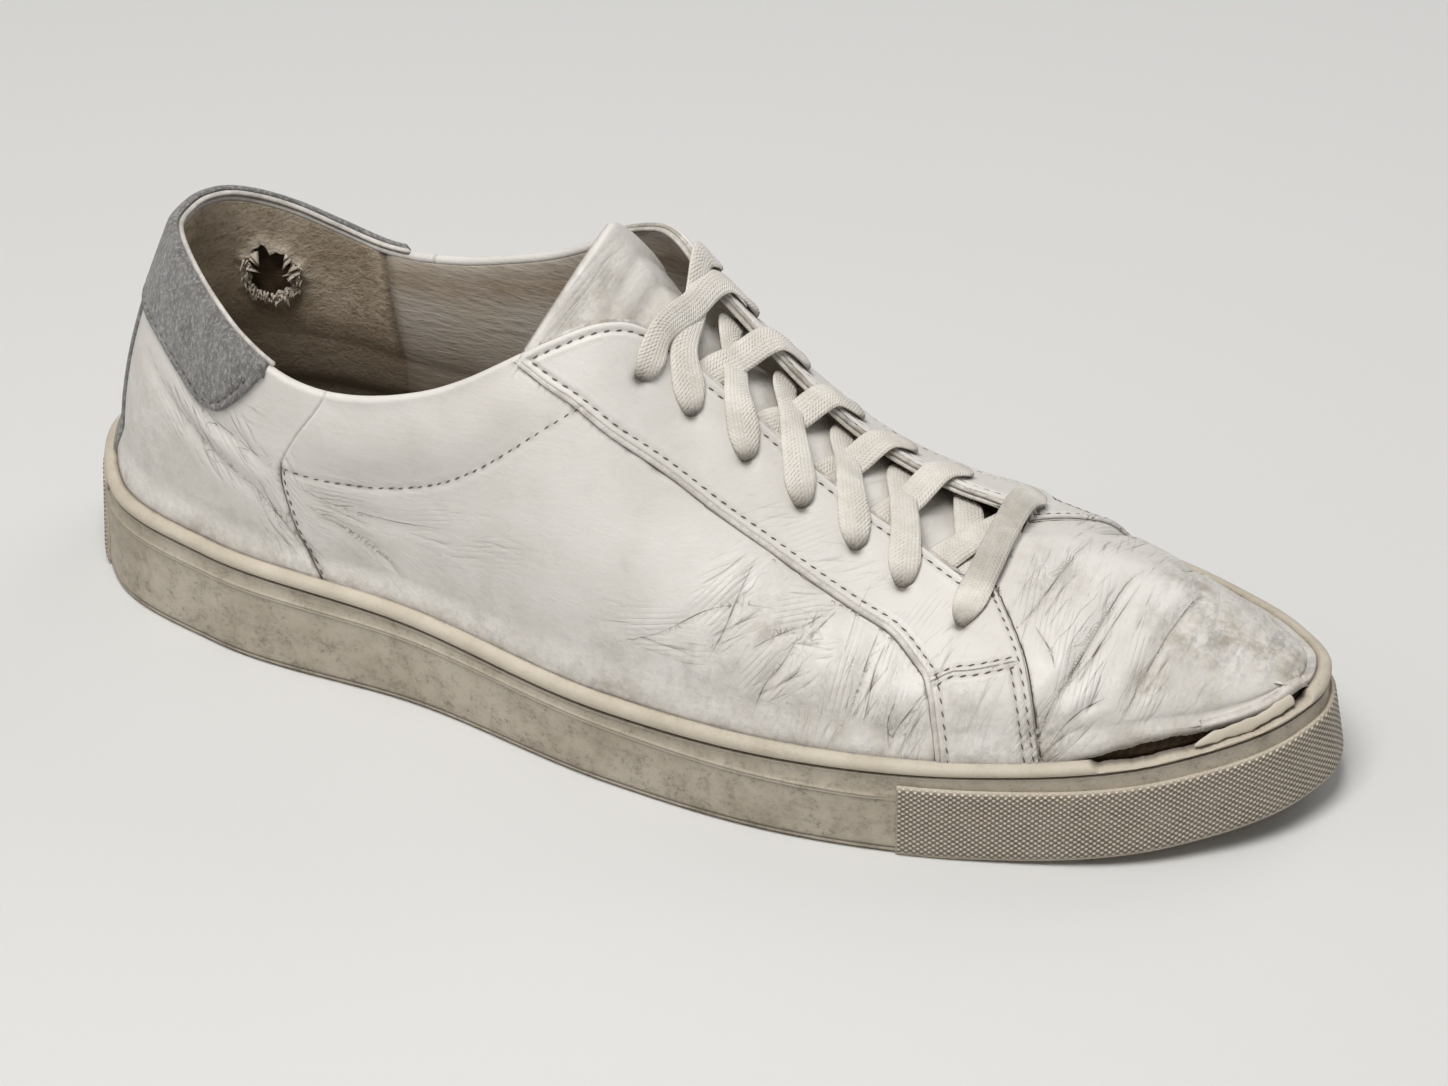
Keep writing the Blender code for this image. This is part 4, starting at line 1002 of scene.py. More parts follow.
def lace_look():
    """Flat woven cotton: slanted picks on both sides of a middle line, fuzz, soil and painted shade at the
    eyelets.
    """
    look = Look("lace cotton", Specular_IOR_Level=0.12, Sheen_Weight=0.2)
    along, across = look.mark("along"), look.mark("across")
    slant = along + across.math("ABSOLUTE") * 0.9
    picks = (slant * (math.tau / PICK_PITCH)).math("SINE")
    ribs = (across * (math.tau / RIB_PITCH)).math("SINE")
    fuzz = look.noise(0.5, 3, 0.7)
    weave = picks * 0.5 * (ribs * 0.5 + 0.5) + fuzz
    base = look.coats(
        colour("lace"),
        (look.noise(6, 3).smooth(0.35, 0.7) * 0.4, "lace_shade"),
        (weave.smooth(0.1, -0.35) * 0.32, "lace_shade"),
        # The soil mark darkens the lace with dirt, and with painted shade where it dips into the eyelets.
        ((look.mark("soil") * (0.55 + look.noise(1.8, 4) * 0.9)).clamp() * 0.85, "grime"),
    )
    return look.finish(base, 0.92, picks * 0.05 + ribs * 0.04 + fuzz * 0.28)


def rubber_look(name, knurled=False):
    """Off-white cupsole rubber with ingrained grime, darker low down and in its grooves, and painted shade
    where the torn toe bares the cup's inside. Knurled, it has painted light on the knobs' tops and painted
    shade between them.
    """
    look = Look(name, Specular_IOR_Level=0.35)
    patches, blotches, specks = look.noise(18, 5, 0.6), look.noise(5, 6, 0.72), look.noise(1.0, 6, 0.8)
    scratches = look.noise(2.5, 4, 0.7, look.places((0.18, 0.6, 1.0), (0, 6, 0)))
    soil, grime = look.mark("soil"), look.mark("grime")
    dirt = (soil * (0.35 + (patches * 0.6 + blotches * 0.8).smooth(0.55, 0.92) * 0.8)).clamp()
    stain = (specks * 0.8 + blotches * 0.4).smooth(0.61, 0.76) * (0.05 + soil * 0.9)
    coats = [
        (patches.smooth(0.35, 0.7) * 0.6, "rubber_shade"),
        (dirt * (0.10 if knurled else 0.85), "soil"),
        (stain.clamp() * 0.62, "grime"),
        (scratches.smooth(0.60, 0.74) * 0.25, "grime"),
        ((grime * (0.5 + specks * 0.7)).clamp() * 0.8, "grime"),
    ]
    height = specks * 0.06 + scratches * 0.07
    if knurled:
        knobs, field = knurling(look), look.mark("field")
        # Painted shade between the knobs, with their dirt, and painted light on the knobs' tops, with their
        # rubbed wear.
        coats.append(((1.0 - knobs) * field * (0.55 + blotches * 0.55), "grime"))
        coats.append((knobs * field * 0.85, "rubber_rubbed_and_lit"))
        height = height + knobs * field * 0.55
    return look.finish(look.coats(colour("rubber"), *coats), 0.55 + dirt * 0.25, height)


def knurling(look):
    """Rows of small round knobs, every other row half a pitch along."""
    pitch = sizes().knurl_pitch / MM
    worn = look.noise(3, 3) * 0.5
    along = (look.mark("along") * (math.tau / pitch) + worn).math("COSINE")
    up = (look.mark("up") * (math.pi / (KNOB_ROW * pitch)) + worn).math("COSINE")
    return (along * up).smooth(-0.35, 0.75)


def insole_look():
    """Cloth, worn darker under the foot."""
    look = Look("insole lining", Specular_IOR_Level=0.2)
    cloudy, fine = look.noise(14, 5), look.noise(1.2, 4, 0.7)
    base = look.coats(
        colour("insole"),
        (cloudy.smooth(0.3, 0.7), "insole_shade"),
        (look.mark("soil") * (0.4 + fine * 0.8), "grime"),
    )
    return look.finish(base, 0.85, fine * 0.15 + cloudy * 0.2)


def dark_look():
    """What shows where a layer is torn."""
    look = Look("bared layer", Specular_IOR_Level=0.2)
    streaks = look.noise(1.6, 4, 0.7, look.places((0.3, 0.3, 1.6)))
    return look.finish(look.blend(streaks, colour("bared"), colour("bared_dark")), 0.9, streaks * 0.4)


# Making pieces


def piece(name, bm, look, nodes=()):
    """A finished object from a bmesh, riding on the shoe's one body."""
    mesh = bpy.data.meshes.new(name)
    bm.to_mesh(mesh)
    bm.free()
    mesh.shade_smooth()
    mesh.materials.append(look)
    made = bpy.data.objects.new(name, mesh)
    bpy.context.scene.collection.objects.link(made)
    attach(made, "root")
    if nodes:
        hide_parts(*nodes)
    return made


def grid(columns, rows):
    """Where each vertex of a grid lies, a along its columns and b along its rows, both from 0 to 1."""
    a, b = np.meshgrid(np.linspace(0, 1, columns + 1), np.linspace(0, 1, rows + 1))
    return a.ravel(), b.ravel()


def bent_grid(columns, rows, points, marks):
    """A bmesh grid with its vertices at the points and its marks as attributes."""
    bm = bmesh.new()
    bmesh.ops.create_grid(bm, x_segments=columns, y_segments=rows, size=1)
    for vert, point in zip(bm.verts, points):
        vert.co = point
    for label, values in marks.items():
        layer = bm.verts.layers.float.new(label)
        for vert, value in zip(bm.verts, values):
            vert[layer] = value
    bmesh.ops.remove_doubles(bm, verts=bm.verts, dist=0.01 * MM)
    return bm


def thicken(made, thickness, offset=-1.0):
    """Give a sheet its thickness: inwards for an offset of -1, both ways for 0."""
    modifier = made.modifiers.new("thickness", "SOLIDIFY")
    modifier.thickness = thickness
    modifier.offset = offset
    return made


def sheet(name, look, net, points, marks, thickness, nodes=(), offset=-1.0):
    """A piece that is one bent and thickened grid, its net the grid's columns and rows."""
    return thicken(piece(name, bent_grid(*net, points, marks), look, nodes), thickness, offset)


def margins(points, columns, rows):
    """Distance of each point of a grid from its first and last column and its first and last row."""
    net = points.reshape(rows + 1, columns + 1, 3)
    found = []
    for axis in (1, 0):
        steps = np.linalg.norm(np.diff(net, axis=axis), axis=2)
        run = np.zeros(net.shape[:2])
        cut = [slice(None)] * 2
        cut[axis] = slice(1, None)
        run[tuple(cut)] = np.cumsum(steps, axis=axis)
        last = run.take([-1], axis=axis)
        found += [run.ravel(), (last - run).ravel()]
    return found


def foot_soil(u, v, marks):
    """Adds the soil that the leather picks up just over the sole."""
    low = 0.30 * bell(v, 0, 0.07) + 0.25 * bell(v, 0, 0.25)
    marks["soil"] = np.maximum(marks["soil"], low * (0.8 + 0.2 * np.sin(u * 60)))
    marks["grime"] = np.maximum(marks["grime"], 0.7 * bell(v, 0.006, 0.006))


def turn_down(edge, radius):
    """Drop of a sheet's face towards an edge that is `edge` away, rounded off over `radius`."""
    inside = 1 - np.clip(edge / radius, 0, 1)
    return -radius * (1 - np.sqrt(np.maximum(1 - inside**2, 0)))


def seam_share(v):
    """Share where the heel counter meets a quarter."""
    return spline(HEEL_SEAM, v, 1)


def rim_radius(u):
    """Half the thickness of the collar's rolled rim; the throat's edge is thinner."""
    return (1.2 - 0.75 * ramp(np.abs(u), 0.42, 0.05)) * MM


def climbing(u, t, lift, radius):
    """Points on a panel that climbs the wall while t goes from 0 to 1, then rolls over the top edge.

    Returns the points, the outward directions and the marks. At t = 2 the panel has turned to the inside.
    """
    u, t = np.broadcast_arrays(np.asarray(u, float), np.asarray(t, float))
    height = np.linalg.norm(wall(u, 1.0) - wall(u, 0.0), axis=-1)
    v = np.clip(t, 0, 1) * (1 - rim_radius(u) / height)
    base = wall(u, v)
    outward, upward, _ = wall_axes(u, v)
    rise, marks = relief(base, outward)
    turned = np.clip(t - 1, 0, None)[:, None] * math.pi
    facing = outward * np.cos(turned) + upward * np.sin(turned)
    rise = rise * np.clip(2 - t, 0, 1)
    foot_soil(u, v, marks)
    points = base - outward * radius[:, None] + facing * (radius + lift + rise)[:, None]
    return points, facing, marks


# Panels of the upper


def vamp(look):
    """The toe panel, from under the eyestays over the ridge and down both sides, its lower edge torn."""
    net = columns, rows = 170, 230
    a, b = grid(*net)
    v = 2 * b
    side_v = np.minimum(v, 2 - v)
    rear = spline(VAMP_REAR, side_v, 1)
    share = rear + (1 - rear) * a**0.85
    base, outward = skin(-share, v)
    near_ridge = bell(v, 1, 0.10)[:, None] * ramp(share, 0.722, 0.02)[:, None]
    for _ in range(EASINGS):
        spots = base.reshape(rows + 1, columns + 1, 3)
        mean = spots.copy()
        mean[1:-1] = (spots[:-2] + spots[2:]) / 2
        base = base + (mean.reshape(-1, 3) - base) * 0.9 * near_ridge
    rise, marks = relief(base, outward)
    foot_soil(share, side_v, marks)
    outer = np.where(v < 1, 1.0, 0.0)
    open_by = spline(TORN, share, 1) * MM * outer
    low = bell(v, 0, 0.17)
    ragged = 0.6 * np.sin(share * 311) + 0.5 * np.sin(share * 1033 + 1) * np.sin(share * 170)
    ragged += 0.35 * np.sin(share * 2311 + 2) * np.sin(share * 410 + 1)
    ragged *= 0.24 * np.clip(open_by / MM, 0, 1) * MM * bell(v, 0, 0.010)
    points = base + outward * rise[:, None]
    points += np.array([0, 0, 1.0]) * (open_by * low + ragged)[:, None]
    raw = np.clip(open_by / MM - 0.4, 0, 1)
    hollow = ramp(share, 0.80, 0.05) * ramp(share, 1.0, -0.06) * outer
    points += outward * ((0.2 * raw * bell(v, 0, 0.016) - 1.3 * hollow * low) * MM)[:, None]
    return sheet("vamp", look, net, points, marks, VAMP_SHEET, ["upper"])


def to_seams(points, t, net):
    """The drop of a panel's face towards its two seams, below the collar."""
    first, last, _, _ = margins(points, *net)
    return turn_down(np.minimum(first, last), 0.5 * MM) * ramp(t, SEAM_TOP, -0.08)


def counter(look):
    """The heel's leather from seam to seam, rolled over the collar."""
    net = 160, 88
    a, b = grid(*net)
    t = b * ROLLED
    u = (1 - 2 * a) * seam_share(np.clip(t, 0, 1))
    points, facing, marks = climbing(u, t, 0.0, rim_radius(u))
    points = points + facing * to_seams(points, t, net)[:, None]
    marks["soil"] = np.maximum(marks["soil"], 0.5 * np.clip(t - 1.2, 0, 1))
    return sheet("heel_counter", look, net, points, marks, QUARTER_SHEET)


def quarter(side, columns, look):
    """One side's leather from the heel seam to under the eyestay, rolled over the collar."""
    net = columns, 112
    a, b = grid(*net)
    toeward = a if side < 0 else 1 - a
    t = b * ROLLED
    seam = seam_share(np.clip(t, 0, 1))
    front = spline(VAMP_REAR, np.clip(t, 0, 0.98), 1) + OVERLAP
    u = side * (seam + (front - seam) * toeward)
    points, facing, marks = climbing(u, t, 0.0, rim_radius(u))
    points = points + facing * (to_seams(points, t, net) + collar_puff(u, t))[:, None]
    return sheet("quarter_" + SIDES[side], look, net, points, marks, QUARTER_SHEET)


def collar_puff(u, t):
    """How far the padded collar stands out over its row of stitches."""
    share = np.abs(u)
    low = spline(COLLAR_STITCH, share, 1) + 0.02
    over = ramp(t, low, np.maximum(0.98 - low, 0.05))
    ends = ramp(share, 0.245, 0.05) * ramp(share, 0.47, -0.06)
    return 1.3 * MM * np.sin(over * math.pi) ** 1.2 * ends


def eyestay(side, look):
    """The overlay that carries the eyelets, with its folded edges and painted shade round its eyelet holes.
    """
    net = 240, 44
    a, b = grid(*net)
    front = b if side < 0 else 1 - b
    step = a * EYESTAY[-1][0]
    share = spline(EYESTAY, step, 1) * (1 - front) + spline(EYESTAY, step, 3) * front
    v = np.clip(spline(EYESTAY, step, 2) * (1 - front) + spline(EYESTAY, step, 4) * front, 0, 1)
    base, outward = skin(side * share, v)
    rise, marks = relief(base, outward)
    first, _, low, high = margins(base, *net)
    edge = np.minimum(np.minimum(low, high), first)
    foot_soil(share, v, marks)
    pull, pit = eyelet_puckers(base, side, 3.4), eyelet_puckers(base, side, 1.7)
    lift = EYESTAY_LIFT + rise + turn_down(edge, FOLDED) - (0.20 * pull + 0.75 * pit) * MM
    # Painted shade: the leather round each eyelet is darkened for the shadow in its hole.
    marks["grime"] = np.maximum(marks["grime"], 2.2 * pit**1.5)
    points = base + outward * lift[:, None]
    node = "eyestay_lateral" if side < 0 else "eyestay_medial"
    return sheet(node + "_leather", look, net, points, marks, OVERLAY_SHEET, [node])


def eyelet_puckers(points, side, reach):
    """1 at an eyelet, falling off over the leather that the lace pulls in. The reach is in mm."""
    pull = np.zeros(len(points))
    for share, v in EYELET_PLACES:
        off = np.linalg.norm(points - wall(side * share, v), axis=1)
        pull = np.maximum(pull, bell(off, 0, reach * MM))
    return pull


def piping(side, look):
    """The raised folded cord along an eyestay's rear edge."""
    u, v = eyestay_line(side, 0.0, 10.0, 1, -0.35 * MM)
    path, outward = skin(u, v)
    rise, _ = relief(path, outward)
    path = path + outward * (0.45 * MM + rise)[:, None]
    bm = cord_mesh(path, outward, PIPING, PIPING, 300, 10, 0.45)
    return piece("piping_" + SIDES[side], bm, look)


def heel_tab(look):
    """The suede tab round the collar's back, over the rim."""
    net = 170, 52
    a, b = grid(*net)
    share = HEEL_TAB[-1][0]
    around = 1 - 2 * a
    low = np.minimum(spline(HEEL_TAB, np.abs(around) * share, 1), 0.97)
    u = around * share * np.where(around > 0, INNER_TAB, 1.0)
    t = low + (1.46 - low) * b
    points, facing, marks = climbing(u, t, TAB_LIFT, rim_radius(u))
    edge = np.min(margins(points, *net), axis=0)
    points = points + facing * turn_down(edge, FOLDED)[:, None]
    return sheet("heel_tab_suede", look, net, points, marks, OVERLAY_SHEET, ["heel_tab"])


def collar_piping(look):
    """The pale cord between the heel tab and the lining."""
    u = np.linspace(INNER_TAB * HEEL_TAB[-1][0] + 0.004, -HEEL_TAB[-1][0] - 0.004, 160)
    points, facing, _ = climbing(u, 1.60, 0.55 * MM, rim_radius(u))
    bm = cord_mesh(points, facing, COLLAR_PIPING, COLLAR_PIPING, 420, 10, 0.55)
    return piece("collar_piping", bm, look)


def throat_piping(side, look):
    """The two folded layers that show along the throat's edge."""
    share = np.linspace(0.452, 0.7185, 150)
    for number, (lift, soil) in enumerate(((0.15, 0.9), (-1.0, 0.6)), start=1):
        u = side * share
        path = wall(u, 0.998)
        outward, upward, _ = wall_axes(u, np.full(len(u), 0.998))
        path = path + outward * lift * MM + upward * 0.25 * MM
        bm = cord_mesh(path, outward, FOLDED_EDGE, FOLDED_EDGE, 300, 8, soil)
        piece("throat_edge_%s_%d" % (SIDES[side], number), bm, look)


def back_strip(look):
    """The suede strip up the middle of the heel's back."""
    net = 24, 70
    a, b = grid(*net)
    u = (1 - 2 * a) * (0.050 - 0.008 * b)
    points, facing, marks = climbing(u, 0.70 * b, STRIP_LIFT, rim_radius(u))
    first, last, _, _ = margins(points, *net)
    points = points + facing * turn_down(np.minimum(first, last), 0.6 * MM)[:, None]
    return sheet("back_strip_suede", look, net, points, marks, STRIP_SHEET, ["back_strip"])


def stitches(look):
    """Every stitch of the upper, each a short fat thread sunk in its groove."""
    bm = bmesh.new()
    pitch = sizes().stitch_pitch
    for u, v, lift in stitch_rows():
        run = runs(wall(u, v))
        at = np.arange(pitch / 2, run[-1], pitch)
        u, v = np.interp(at, run, u), np.interp(at, run, v)
        path, outward = skin(u, v)
        rise, _ = relief(path, outward)
        path = path + outward * (lift + rise + STITCH_RISE)[:, None]
        sew(bm, path, outward, STITCH)
    return piece("upper_stitches", bm, look)


def sew(bm, path, outward, size):
    """Add a thread of a size in mm at each point of a path, laid along it and slightly slanted."""
    size = Vector(size) * MM
    ahead = unit(np.gradient(path, axis=0))
    for point, along, out in zip(path, ahead, outward):
        aside = unit(np.cross(out, along))
        along = unit(along + 0.16 * aside)
        aside = np.cross(out, along)
        turn = Matrix(np.column_stack([along * size[0], aside * size[1], out * size[2]]).tolist())
        place = Matrix.Translation(Vector(point)) @ turn.to_4x4()
        bmesh.ops.create_uvsphere(bm, u_segments=5, v_segments=4, radius=1.0, matrix=place)


def cord_mesh(path, faces, widths, heights, columns, rows, soils_and_shade=0.0):
    """A closed flat or round cord along a path, its face turned to `faces`, with its marks."""
    run = runs(path)
    table = np.column_stack([run, path, faces, *(values + 0 * run for values in (widths, heights, soils_and_shade))])

    def read(at, first):
        return np.stack([spline(table, at, first + i) for i in range(3)], axis=-1)

    a, b = grid(columns, rows)
    at = a * run[-1]
    ahead = unit(read(at + CORD_STEP, 1) - read(at - CORD_STEP, 1))
    across = unit(np.cross(ahead, read(at, 4)))
    face = np.cross(across, ahead)
    angle = b * math.tau
    ends = np.sqrt(np.clip(np.minimum(at, run[-1] - at) / CORD_END, 0, 1))
    half_width = spline(table, at, 7) / 2 * ends
    half_height = spline(table, at, 8) / 2 * ends
    x = np.sign(np.cos(angle)) * np.abs(np.cos(angle)) ** CORD_SECTION * half_width
    y = np.sign(np.sin(angle)) * np.abs(np.sin(angle)) ** CORD_SECTION * half_height
    points = read(at, 1) + across * x[:, None] + face * y[:, None]
    marks = {"along": at / MM, "across": x / MM, "soil": spline(table, at, 9), "hair": at * 0 + FAR / MM}
    return bent_grid(columns, rows, points, marks)


# Lining, tongue and insole


def lining_hole(u, v):
    """Signed distance in mm from the torn edge of the lining's hole, below 0 inside it."""
    centre_u, centre_v, wide, high = HOLE
    spot = wall(centre_u, centre_v)
    per_u = np.linalg.norm(wall(centre_u + STEP, centre_v) - spot) / STEP
    per_v = np.linalg.norm(wall(centre_u, centre_v + STEP) - spot) / STEP
    x, y = (u - centre_u) * per_u / MM, (v - centre_v) * per_v / MM
    angle = np.arctan2(y / high, x / wide)
    ragged = 1 + 0.13 * np.sin(3 * angle + 0.6) + 0.10 * np.sin(7 * angle) + 0.10 * np.sin(13 * angle + 2)
    return (np.hypot(x / wide, y / high) - ragged) * min(wide, high)


def lining(look):
    """The lining inside the collar and down to the insole, padded round the heel, with a worn hole."""
    net = columns, rows = 300, 74
    a, b = grid(*net)
    u = (1 - 2 * a) * LINING_END
    t = -0.25 + 1.27 * b
    v = np.clip(t, 0, 1)
    hole = lining_hole(u, v)
    u, v = drawn_out(u, v, hole)
    height = np.linalg.norm(wall(u, 1.0) - wall(u, 0.0), axis=-1)
    base, outward = skin(u, v * (1 - rim_radius(u) / height))
    collar = ramp(np.abs(u), 0.47, -0.08)
    padding = PADDING * collar * np.sin(ramp(v, 0.30, 0.70) * math.pi) ** 0.8
    thin = 1.2 * MM * (1 - collar) * ramp(v, 1, -0.1)
    depth = 2 * rim_radius(u) - 0.15 * MM + thin + padding
    base[:, 2] = np.where(t < 0, base[:, 2] + (base[:, 2] - CUP_FLOOR - 3 * MM) * t / 0.25, base[:, 2])
    points = base - outward * depth[:, None]
    frayed = bell(np.clip(hole, 0, None), 0, 1.5)
    points -= outward * (frayed * 1.0 * MM)[:, None]
    seam = bell(np.abs(u), LINING_SEAM, 0.0035)
    points += outward * (0.7 * MM * seam)[:, None]
    heel = (np.abs(u) < LINING_SEAM) * 1.0
    sweat = 0.75 * np.exp(-(((u - 0.205) / 0.045) ** 2 + ((v - 0.86) / 0.16) ** 2))
    heel_soil = 0.08 + sweat + 0.95 * bell(v, 0.20, 0.30)
    # The quarters' lining: a soiled band along the top, and painted shade that darkens it low down inside
    # the shoe.
    quarter_soil_and_shade = 0.12 + 0.65 * bell(v, 0.88, 0.10) + 0.70 * bell(v, 0.05, 0.30)
    soil = heel * heel_soil + (1 - heel) * quarter_soil_and_shade
    # The grime mark darkens the seam, and below the lining's middle ever more towards the insole: painted
    # shade deep inside the shoe.
    marks = {"soil": np.clip(soil, 0, 1), "grime": np.maximum(0.7 * seam, ramp(v, 0.46, -0.35))}
    bm = bent_grid(*net, points, {**marks, "heel": heel, "raw": frayed})
    layer = hole.reshape(rows + 1, columns + 1)
    corners = (layer[:-1, :-1], layer[1:, :-1], layer[:-1, 1:], layer[1:, 1:])
    bm.faces.ensure_lookup_table()
    gone = [bm.faces[i] for i in np.flatnonzero(np.max(corners, axis=0).ravel() < 0)]
    bmesh.ops.delete(bm, geom=gone, context="FACES")
    return thicken(piece("lining", bm, look), LINING_SHEET, 1.0)


def drawn_out(u, v, hole):
    """Places with those inside the lining's hole drawn out to its edge."""
    centre_u, centre_v, wide, high = HOLE
    reach = 1 + np.where(hole < 0, -hole, 0) / np.maximum(hole + min(wide, high), 1.0)
    return centre_u + (u - centre_u) * reach, centre_v + (v - centre_v) * reach


def frayed_edge(look):
    """Torn flaps and loose fibres round the lining's hole."""
    rng = np.random.default_rng(11)
    bm = bmesh.new()
    centre_u, centre_v, wide, high = HOLE
    per_u, per_v = stretch(centre_u, centre_v)
    for number in range(FLAPS + FIBRES):
        flap = number < FLAPS
        angle = rng.uniform(-0.3, math.pi) if flap else rng.uniform(-math.pi - 0.3, 0.5)
        away = rng.uniform(0.96, 1.06) if flap else rng.uniform(0.90, 1.25)
        u = centre_u + away * wide * MM * math.cos(angle) / per_u
        v = centre_v + away * high * MM * math.sin(angle) / per_v
        outward, upward, toeward = axes_at(u, v)
        inwards = -math.cos(angle) * toeward - math.sin(angle) * upward
        lean = rng.uniform(0.2, 0.9) if flap else rng.uniform(-0.6, 0.6)
        aim = unit(inwards * lean - upward * rng.uniform(0.1, 0.7) - outward * rng.uniform(0.2, 0.7))
        length = (rng.uniform(2.0, 3.6) if flap else rng.uniform(0.9, 2.1)) * MM
        wide_end = (rng.uniform(1.0, 1.7) if flap else rng.uniform(0.2, 0.5)) * MM
        depth = (2 * rim_radius(u) + 2.6 * MM) * outward
        turn = Vector(aim).to_track_quat("Z", "Y").to_matrix() @ Matrix.Diagonal((1.0, 0.35, 1.0))
        place = Matrix.Translation(Vector(wall(u, v) - depth + aim * length / 2)) @ turn.to_4x4()
        bmesh.ops.create_cone(
            bm, cap_ends=True, segments=6, radius1=wide_end, radius2=0.05 * MM, depth=length, matrix=place
        )
    layer = bm.verts.layers.float.new("raw")
    heel = bm.verts.layers.float.new("heel")
    for vert in bm.verts:
        vert[layer], vert[heel] = 0.8, 1.0
    return piece("frayed_edge", bm, look)


def bared_layer(look):
    """What shows through the lining's hole."""
    net = 40, 40
    a, b = grid(*net)
    centre_u, centre_v, _, _ = HOLE
    u, v = centre_u + (0.5 - a) * 0.11, np.clip(centre_v + (b - 0.5) * 0.55, 0, 0.97)
    base, outward = skin(u, v)
    waves = 0.4 * MM * np.sin(a * 31 + 4 * b) * np.sin(b * 23)
    points = base - outward * (2.4 * MM + waves)[:, None]
    return sheet("bared_layer", look, net, points, {}, BARED_SHEET, offset=1.0)


def lasting_margin(look):
    """The dark edge of the inner layers that shows where the vamp has come away; its near-black is partly
    painted shade inside the torn toe.
    """
    net = 150, 12
    a, b = grid(*net)
    u = -0.79 - 0.21 * a
    base, outward = skin(u, 0.16 * b)
    base[:, 2] -= 1.5 * MM * (1 - b)
    waves = 0.35 * MM * np.sin(a * 160) * np.sin(b * 5)
    points = base - outward * (2.0 * MM + waves)[:, None]
    return sheet("lasting_margin", look, net, points, {}, MARGIN_SHEET)


def tongue(look):
    """The padded tongue, creased across, with its turned edge."""
    net = columns, rows = 80, 120
    a, b = grid(*net)
    step = b * TONGUE[-1][0]
    side = 2 * a - 1
    outer = side < 0
    reach = np.where(outer, spline(TONGUE, step, 4), spline(TONGUE, step, 6)) * BALL_WIDTH
    drop = np.where(outer, spline(TONGUE, step, 5), spline(TONGUE, step, 7)) * INSTEP
    sweep = spline(TONGUE, step, 8) * LENGTH * np.where(outer, -1, 0.5)
    size = np.abs(side)
    x = spline(TONGUE, step, 1) * LENGTH - HEEL_SEAT + sweep * size**TONGUE_CURL
    y = spline(TONGUE, step, 2) * BALL_WIDTH + reach * side
    drop *= spline(TONGUE_LIFT, step, 2)
    z = spline(TONGUE, step, 3) * INSTEP + spline(TONGUE_LIFT, step, 1) * MM - drop * size**TONGUE_CURL
    points = np.column_stack([x, y, z])
    spots = points.reshape(rows + 1, columns + 1, 3)
    across, along = np.gradient(spots, axis=1), np.gradient(spots, axis=0)
    up = unit(np.cross(across, along)).reshape(-1, 3)
    edge = np.min(margins(points, *net), axis=0)
    waves = 0.5 * np.sin(2 * step + 1.4 * side) + 0.35 * np.sin(3.7 * step - 2 * side + 1)
    folds = np.zeros(len(a))
    for at, slant, depth in TONGUE_FOLDS:
        folds += depth * bell(step - at, slant * side, 0.17)
    rise = (waves * 0.35 - folds) * MM + turn_down(edge, 1.6 * MM)
    soil = 0.12 + 0.25 * np.exp(-(((side + 0.55) / 0.3) ** 2)) + 0.1 * np.sin(5 * step)
    across_tongue = size * 22 * (1 + 0.3 * np.sin(3 * step))
    crease = 0.40 * np.clip(0.35 + 0.4 * np.sin(2.3 * step + 2 * side), 0, 1)
    marks = {"soil": np.clip(soil, 0, 1), "grime": folds * 0.5, "hair": 0 * a + FAR / MM}
    marks.update(along=across_tongue * np.sign(side), across=step * 9 + 3 * side, crease=crease)
    points = points + up * rise[:, None]
    return sheet("tongue_padded", look, net, points, marks, TONGUE_SHEET, ["tongue"])


def insole(look):
    """The insole with the foot's print worn into it."""
    net = 160, 24
    a, b = grid(*net)
    u = 1 - 2 * a
    flat = lip(u, -LIP_WIDTH - WALL - INSOLE_INSET) * (1 - b[:, None]) + spine(u) * b[:, None]
    top = floor_height(flat[:, 0]) + CUP_FLOOR + GAP + INSOLE
    x, y = flat[:, 0], flat[:, 1]
    heel = np.exp(-(((x - 0.0) / 0.030) ** 2 + (y / 0.019) ** 2))
    ball = np.exp(-(((x - 0.145) / 0.028) ** 2 + ((y - 0.006) / 0.028) ** 2))
    dish = -1.6 * heel - 1.3 * ball + 0.25 * np.sin(x * 300) * np.sin(y * 420) + 0.8 * (1 - b) ** 6
    points = np.column_stack([flat, top + dish * MM])
    marks = {"soil": np.clip(0.25 + 0.6 * heel + 0.6 * ball, 0, 1)}
    return sheet("insole_print", look, net, points, marks, INSOLE_SHEET, ["insole"])


# Sole


def bead_size(u):
    """How tall the bead is at u, as a share of its profile."""
    return spline(BEAD, np.abs(u), 1)


def sole_side(u, base, rise, proud):
    """Points of the sole's side on one line of its profile. Rise and proud are in mm."""
    side = spline(SOLE_SIDE, np.abs(u), 1)
    rib = spline(SOLE_SIDE, np.abs(u), 2)
    low, high = rib + RIB_TOP, side - BEAD_FOOT * bead_size(u) * MM
    level = {
        "floor": rise * MM + 0 * u,
        "rib": rib + rise * MM,
        "band": low + (high - low) * rise,
        "top": side + np.minimum(rise * bead_size(u), bead_cut(u)) * MM,
        "cup": CUP_FLOOR + 0 * u,
    }[base]
    flat = lip(u, proud * MM) if base == "cup" else leaning(u, level, proud * MM)
    return over_floor(flat, level)


def bead_cut(u):
    """Height in mm, over the side's top, above which the bead is torn away on the outer side of the toe."""
    torn = ramp(-u, CUT[0], 0.009) * ramp(-u, CUT[1], -0.003)
    ragged = 0.18 * np.sin(u * 157) + 0.12 * np.sin(u * 431 + 1) * np.sin(u * 90) + 0.06 * np.sin(u * 1207)
    return 1 - torn * (1 - CUT_LEVEL - ragged)


